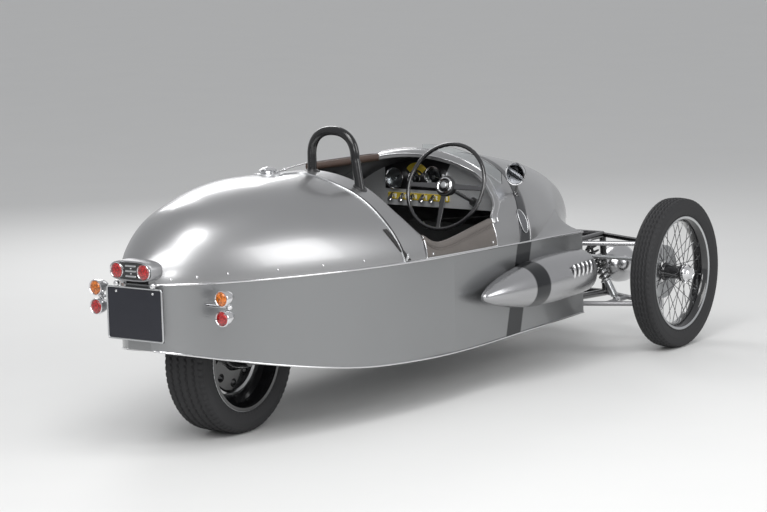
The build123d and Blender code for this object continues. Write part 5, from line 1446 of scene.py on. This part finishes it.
# headlamp fronts: a bright rim and a fluted glass, on the bowl's own circle
clearLens = lens("clearLens", (0.50, 0.52, 0.54), 70.0)
for word in ("right", "left"):
    spots = vertexArray(frame["nodes"]["headlamp_" + word].data)
    low, high = spots.min(0), spots.max(0)
    radius = (high[0] - low[0]) / 2
    spot = ((low[0] + high[0]) / 2, low[1], high[2] - radius)
    lathe("headRim_" + word, [(radius - 0.013, 0.0), (radius - 0.002, -0.006), (radius + 0.0015, -0.001),
                              (radius + 0.001, 0.003), (radius - 0.003, 0.006), (radius - 0.010, 0.006),
                              (radius - 0.013, 0.0)], spot, (0, -1, 0), chrome, sides=72, slot="bright")
    bowed = [(radius - 0.011, -0.001)] + [(r, h + 0.001) for r, h in dome(radius - 0.011, 0.010, 12)]
    points, quads = manyTurned(bowed, [spot], [(0, -1, 0)], 64)
    makePiece("headGlass_" + word, points, quads, clearLens, slot="glass", merge=1e-7)
print("headlamps made")

# studio
studio = {
    "floor": (0.80, 0.80, 0.79),
    "camera": (-6.5737, 8.4323 + 1.0535, 2.3653),
    "yaw": 34.5651, "pitch": 8.8876, "roll": -1.5579, "focal": 2699.93, "wide": 767,
}
camera = bpy.data.objects.new("photoCamera", bpy.data.cameras.new("photoCamera"))
scene.collection.objects.link(camera)
camera.data.sensor_fit = "HORIZONTAL"
camera.data.sensor_width = 36.0
camera.data.lens = studio["focal"] * 36.0 / studio["wide"]
camera.data.clip_end = 100
yaw, pitch, roll = (math.radians(studio[k]) for k in ("yaw", "pitch", "roll"))
forward = Vector((math.sin(yaw) * math.cos(pitch), -math.cos(yaw) * math.cos(pitch), -math.sin(pitch)))
right = forward.cross(Vector((0, 0, 1))).normalized()
above = right.cross(forward)
rolledRight = math.cos(roll) * right + math.sin(roll) * above
rolledUp = -math.sin(roll) * right + math.cos(roll) * above
camera.matrix_world = Matrix.Translation(studio["camera"]) @ Matrix(
    (rolledRight, rolledUp, -forward)).transposed().to_4x4()
scene.camera = camera

floorFinish = Finish("studioFloor", Roughness=0.7)
floorFinish.put(Base_Color=floorFinish.mix(floorFinish.noise(2.0), studio["floor"],
                                           tuple(c * 0.97 for c in studio["floor"])))
mesh = bpy.data.meshes.new("studioFloor")
mesh.from_pydata([(-30, -30, 0), (30, -30, 0), (30, 30, 0), (-30, 30, 0)], [], [(0, 1, 2, 3)])
mesh.materials.append(floorFinish.material)
floor = bpy.data.objects.new("studioFloor", mesh)
scene.collection.objects.link(floor)

world = bpy.data.worlds.new("studio")
scene.world = world
world.use_nodes = True
world.node_tree.nodes["Background"].inputs["Color"].default_value = (0.9, 0.91, 0.93, 1)
world.node_tree.nodes["Background"].inputs["Strength"].default_value = 0.55


def softLamp(name, spot, target, size, power):
    lamp = bpy.data.objects.new(name, bpy.data.lights.new(name, "AREA"))
    lamp.data.shape = "RECTANGLE"
    lamp.data.size, lamp.data.size_y = size
    lamp.data.energy = power
    scene.collection.objects.link(lamp)
    lamp.location = spot
    lamp.rotation_euler = (Vector(target) - Vector(spot)).to_track_quat("-Z", "Y").to_euler()
    return lamp


softLamp("keyLamp", (-2.2, 4.3, 4.6), (0, 0.2, 0.6), (4.5, 3.0), 160)
softLamp("cockpitLamp", (-1.2, 1.6, 3.6), (-0.1, -0.45, 0.8), (1.2, 1.2), 28)
softLamp("fillLamp", (-5.0, -1.0, 2.6), (0, -0.4, 0.5), (2.5, 2.5), 70)
softLamp("edgeLamp", (3.5, -3.0, 3.4), (0, 0, 0.7), (2.5, 2.5), 80)
softLamp("frontalLamp", (-4.5, 5.5, 2.4), (-0.2, -0.9, 0.75), (1.4, 1.4), 45)
print("studio lit")
